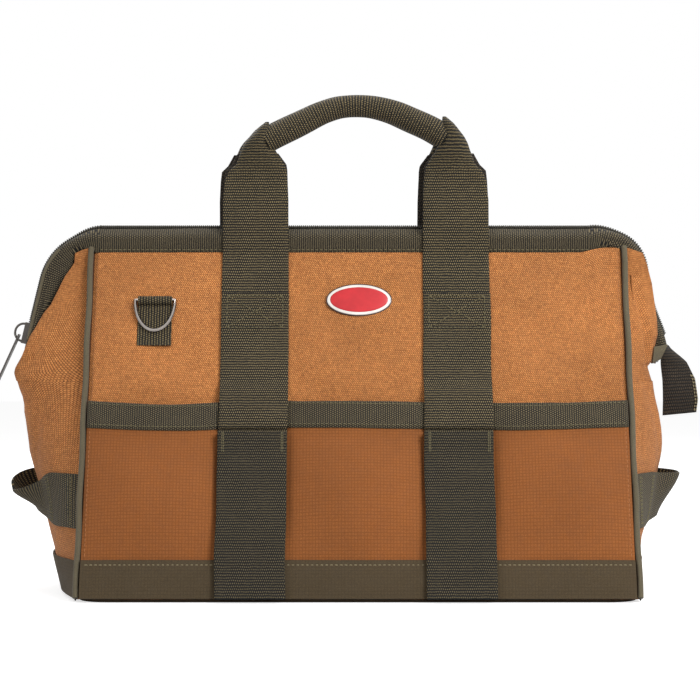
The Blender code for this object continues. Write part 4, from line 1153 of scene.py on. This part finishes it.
def build_ring_tab():
    """The webbing that lies on the front wall and loops round the ring's bar."""
    out = CAD_PLAY + 0.0012 + CAD_PLAY + 0.00135
    bar = RIM - 0.0475
    turns = [math.radians(turn) for turn in spread(180, -100, 24)]
    outline = [(CAD_PLAY, 0.180), (CAD_PLAY, 0.190), (CAD_PLAY, 0.200)]
    for radius, angles in ((out - CAD_PLAY, turns), (0.00165, reversed(turns))):
        outline += [(out + radius * math.cos(t), bar + radius * math.sin(t)) for t in angles]
    outline += [(0.0015, 0.200), (0.0015, 0.190), (0.0015, 0.180)]
    rings = [[wall(FRONT, x, h, w) for w, h in outline] for x in spread(-0.1615, -0.1365, 12)]
    loft("ring_tab_web", rings, WEBBING, on="front_wall", replaces="ring_tab")


def build_badge_oval(name, look, low, high, half_length, half_width, dome=0.0, **rest):
    """A domed oval plate between two stand-offs from the wall."""
    rings = []
    dome_rings = [(share, high + dome * (1 - share * share)) for share in (0.8, 0.6, 0.4, 0.2)]
    for share, out in ((1, low), (1, mix(low, high, 0.7)), (0.985, mix(low, high, 0.93)),
                       (0.96, high), *dome_rings):
        rings.append([wall(FRONT, BADGE_X + half_length * share * cos,
                           BADGE_HEIGHT + half_width * share * sin * math.cos(LEAN), out)
                      for cos, sin in circle(96)])
    loft(name, rings, look, on="front_wall", **rest)


def tab(share):
    """Middle, half width along the bag and turn of the tab, a share of the way down."""
    x, half = between(TAB, share)
    turn = math.pi / 2 * mix(0.35, 1, smooth(share / 0.3))
    return Vector((x, 0.0012 * math.sin(7 * share), TAB_TOP - 0.0514 * share)), half, turn


def build_end_tab():
    """The webbing tab at the zip's right end, which turns as it widens."""
    thick = 0.0015
    rings = []
    for share in spread(0, 1, 40):
        middle, half, turn = tab(share)
        wide = Vector((math.sin(turn), math.cos(turn), 0)) * half
        wide.z = 0.0012 * share
        deep = Vector((math.cos(turn), -math.sin(turn), 0)) * thick
        ring = []
        for side in (1, -1):
            for place in spread(side, -side, 6):
                edge = math.sqrt(max(0.0, 1 - abs(place) ** 8))
                ring.append(middle + wide * place + deep * side * mix(0.35, 1, edge))
        rings.append(ring)

    def beside(inset, share):
        middle, half, _ = tab(share)
        return middle + Vector((half * inset, -thick, 0))

    loft("end_tab_web", rings, DARK_WEB_AND_FOLD_SHADE, on="zip_end_tab", replaces="zip_end_tab")
    stitch("end_tab_stitches", PALE_THREAD, "zip_end_tab", (0, -1, 0),
           [(beside, (inset, 0.42), (inset, 0.96), 11, 0.7, 0.0004) for inset in (0.84, 0.95)])


def build_zip_end_flap(side):
    """The turned-over end of a zip tape, beside the tab."""
    def flap(u, v):
        x = mix(mix(0.2187, 0.2251, u), mix(0.2200, 0.2305, u), v)
        height = mix(mix(0.1672, 0.1700, u), mix(0.1796, 0.1812, u), v)
        depth = 0.0158 - 0.0030 * u + 0.0012 * math.sin(math.pi * v)
        return Vector((x, side * depth, height))

    sheet(f"{SIDE[side]}_zip_end_flap", spread(0, 1, 10), spread(0, 1, 10), flap, 0.0012,
          PIPING, (0, side, 0), uv=lambda u, v: (u * 0.01, v * 0.014),
          on=f"{SIDE[side]}_frame", slot="zip_tape")


def build_base():
    half_depth = 0.106
    rings = []
    for inset, z in ((0.0008, 0.0), (0.0, 0.0006), (0.0, 0.0014), (0.0006, 0.0020)):
        radius = BASE_CORNER - inset
        ring = []
        for quarter, (sx, sy) in enumerate(((1, 1), (-1, 1), (-1, -1), (1, -1))):
            for step in range(13):
                angle = math.pi / 2 * (quarter + step / 12)
                ring.append(Vector((sx * (HALF - BASE_CORNER) + radius * math.cos(angle),
                                    sy * (half_depth - BASE_CORNER) + radius * math.sin(angle),
                                    z)))
        rings.append(ring)
    loft("base_cloth", rings, BOOT, on="root", replaces="base_panel",
         along=[0, 0.001, 0.002, 0.003])
    sheet("base_lining", spread(-0.1962, 0.1962, 30), spread(-half_depth, half_depth, 20),
          lambda x, y: Vector((x, y, 0.0029)), 0.0007, LINING, (0, 0, 1), on="root")


def build_fittings():
    build_ring_tab()
    dress_metal()
    build_badge_oval("badge_edge", BADGE_DARK, 0.0003, 0.0013, 0.02425, 0.0128, replaces="badge")
    build_badge_oval("badge_rim", BADGE_PALE, 0.0006, 0.0017, 0.0234, 0.0120)
    build_badge_oval("badge_field", BADGE_RED, 0.0008, 0.0021, 0.0213, 0.0099, 0.0004)
    build_end_tab()
    for side in (FRONT, BACK):
        build_zip_end_flap(side)
    build_base()


for side in (FRONT, BACK):
    build_wall(side)
    build_mouth(side)
    build_grip(side)
    for hand in (LEFT, RIGHT):
        build_handle_leg(side, hand)
for hand in (LEFT, RIGHT):
    build_end(hand)
build_fittings()


# Camera, lights and floor

WHITE = (1, 1, 1, 1)


def place_camera():
    data = bpy.data.cameras.new("camera")
    data.lens = 114.6
    data.sensor_width = 36
    camera = bpy.data.objects.new("camera", data)
    camera.location = (-0.0056, -1.668, 0.177)
    camera.rotation_euler = (math.radians(90), 0, 0)
    bpy.context.scene.collection.objects.link(camera)
    bpy.context.scene.camera = camera


def place_lights():
    for name, place, target, size, power in (
            ("key", (1.00, -1.15, 1.20), (0.02, 0, 0.18), 0.9, 29),
            ("fill", (-1.4, -1.5, 0.75), (0, 0, 0.15), 1.4, 8),
            ("top", (0.1, 0.5, 1.5), (0, 0, 0.2), 1.2, 10),
            ("back", (-0.9, 1.7, 0.9), (0, 0, 0.15), 1.5, 16)):
        lamp = bpy.data.lights.new(name, "AREA")
        lamp.size = size
        lamp.energy = power
        made = bpy.data.objects.new(name, lamp)
        made.location = place
        made.rotation_euler = (Vector(target) - Vector(place)).to_track_quat("-Z", "Y").to_euler()
        bpy.context.scene.collection.objects.link(made)


def fill_world():
    """White all round, dimmer as a light than where it is seen or mirrored."""
    world = bpy.data.worlds.new("world")
    bpy.context.scene.world = world
    net = Net(world, "Background")
    rays = net.add("ShaderNodeLightPath").outputs
    seen = net.math("MAXIMUM", rays["Is Camera Ray"], rays["Is Glossy Ray"])
    seen = net.math("MAXIMUM", seen, rays["Is Transmission Ray"])
    net.dress(Color=WHITE, Strength=net.spread(seen, 0.0, 1.0, 0.42, 1.0))


def build_floor():
    mesh = bpy.data.meshes.new("floor")
    mesh.from_pydata([(-6, -6, 0), (6, -6, 0), (6, 6, 0), (-6, 6, 0)], [], [(0, 1, 2, 3)])
    floor = bpy.data.objects.new("floor", mesh)
    bpy.context.scene.collection.objects.link(floor)
    net = look_net("floor_paint")
    paint = net.blend(net.noise(net.place(), 3.0), (0.68, 0.68, 0.68, 1), (0.72, 0.72, 0.72, 1))
    glow = net.times(net.add("ShaderNodeLightPath").outputs["Is Camera Ray"], 0.66)
    mesh.materials.append(net.dress(Base_Color=paint, Roughness=0.9, Specular_IOR_Level=0.0,
                                    Emission_Color=WHITE, Emission_Strength=glow))


place_camera()
place_lights()
fill_world()
build_floor()
bpy.context.scene.view_settings.view_transform = "Standard"
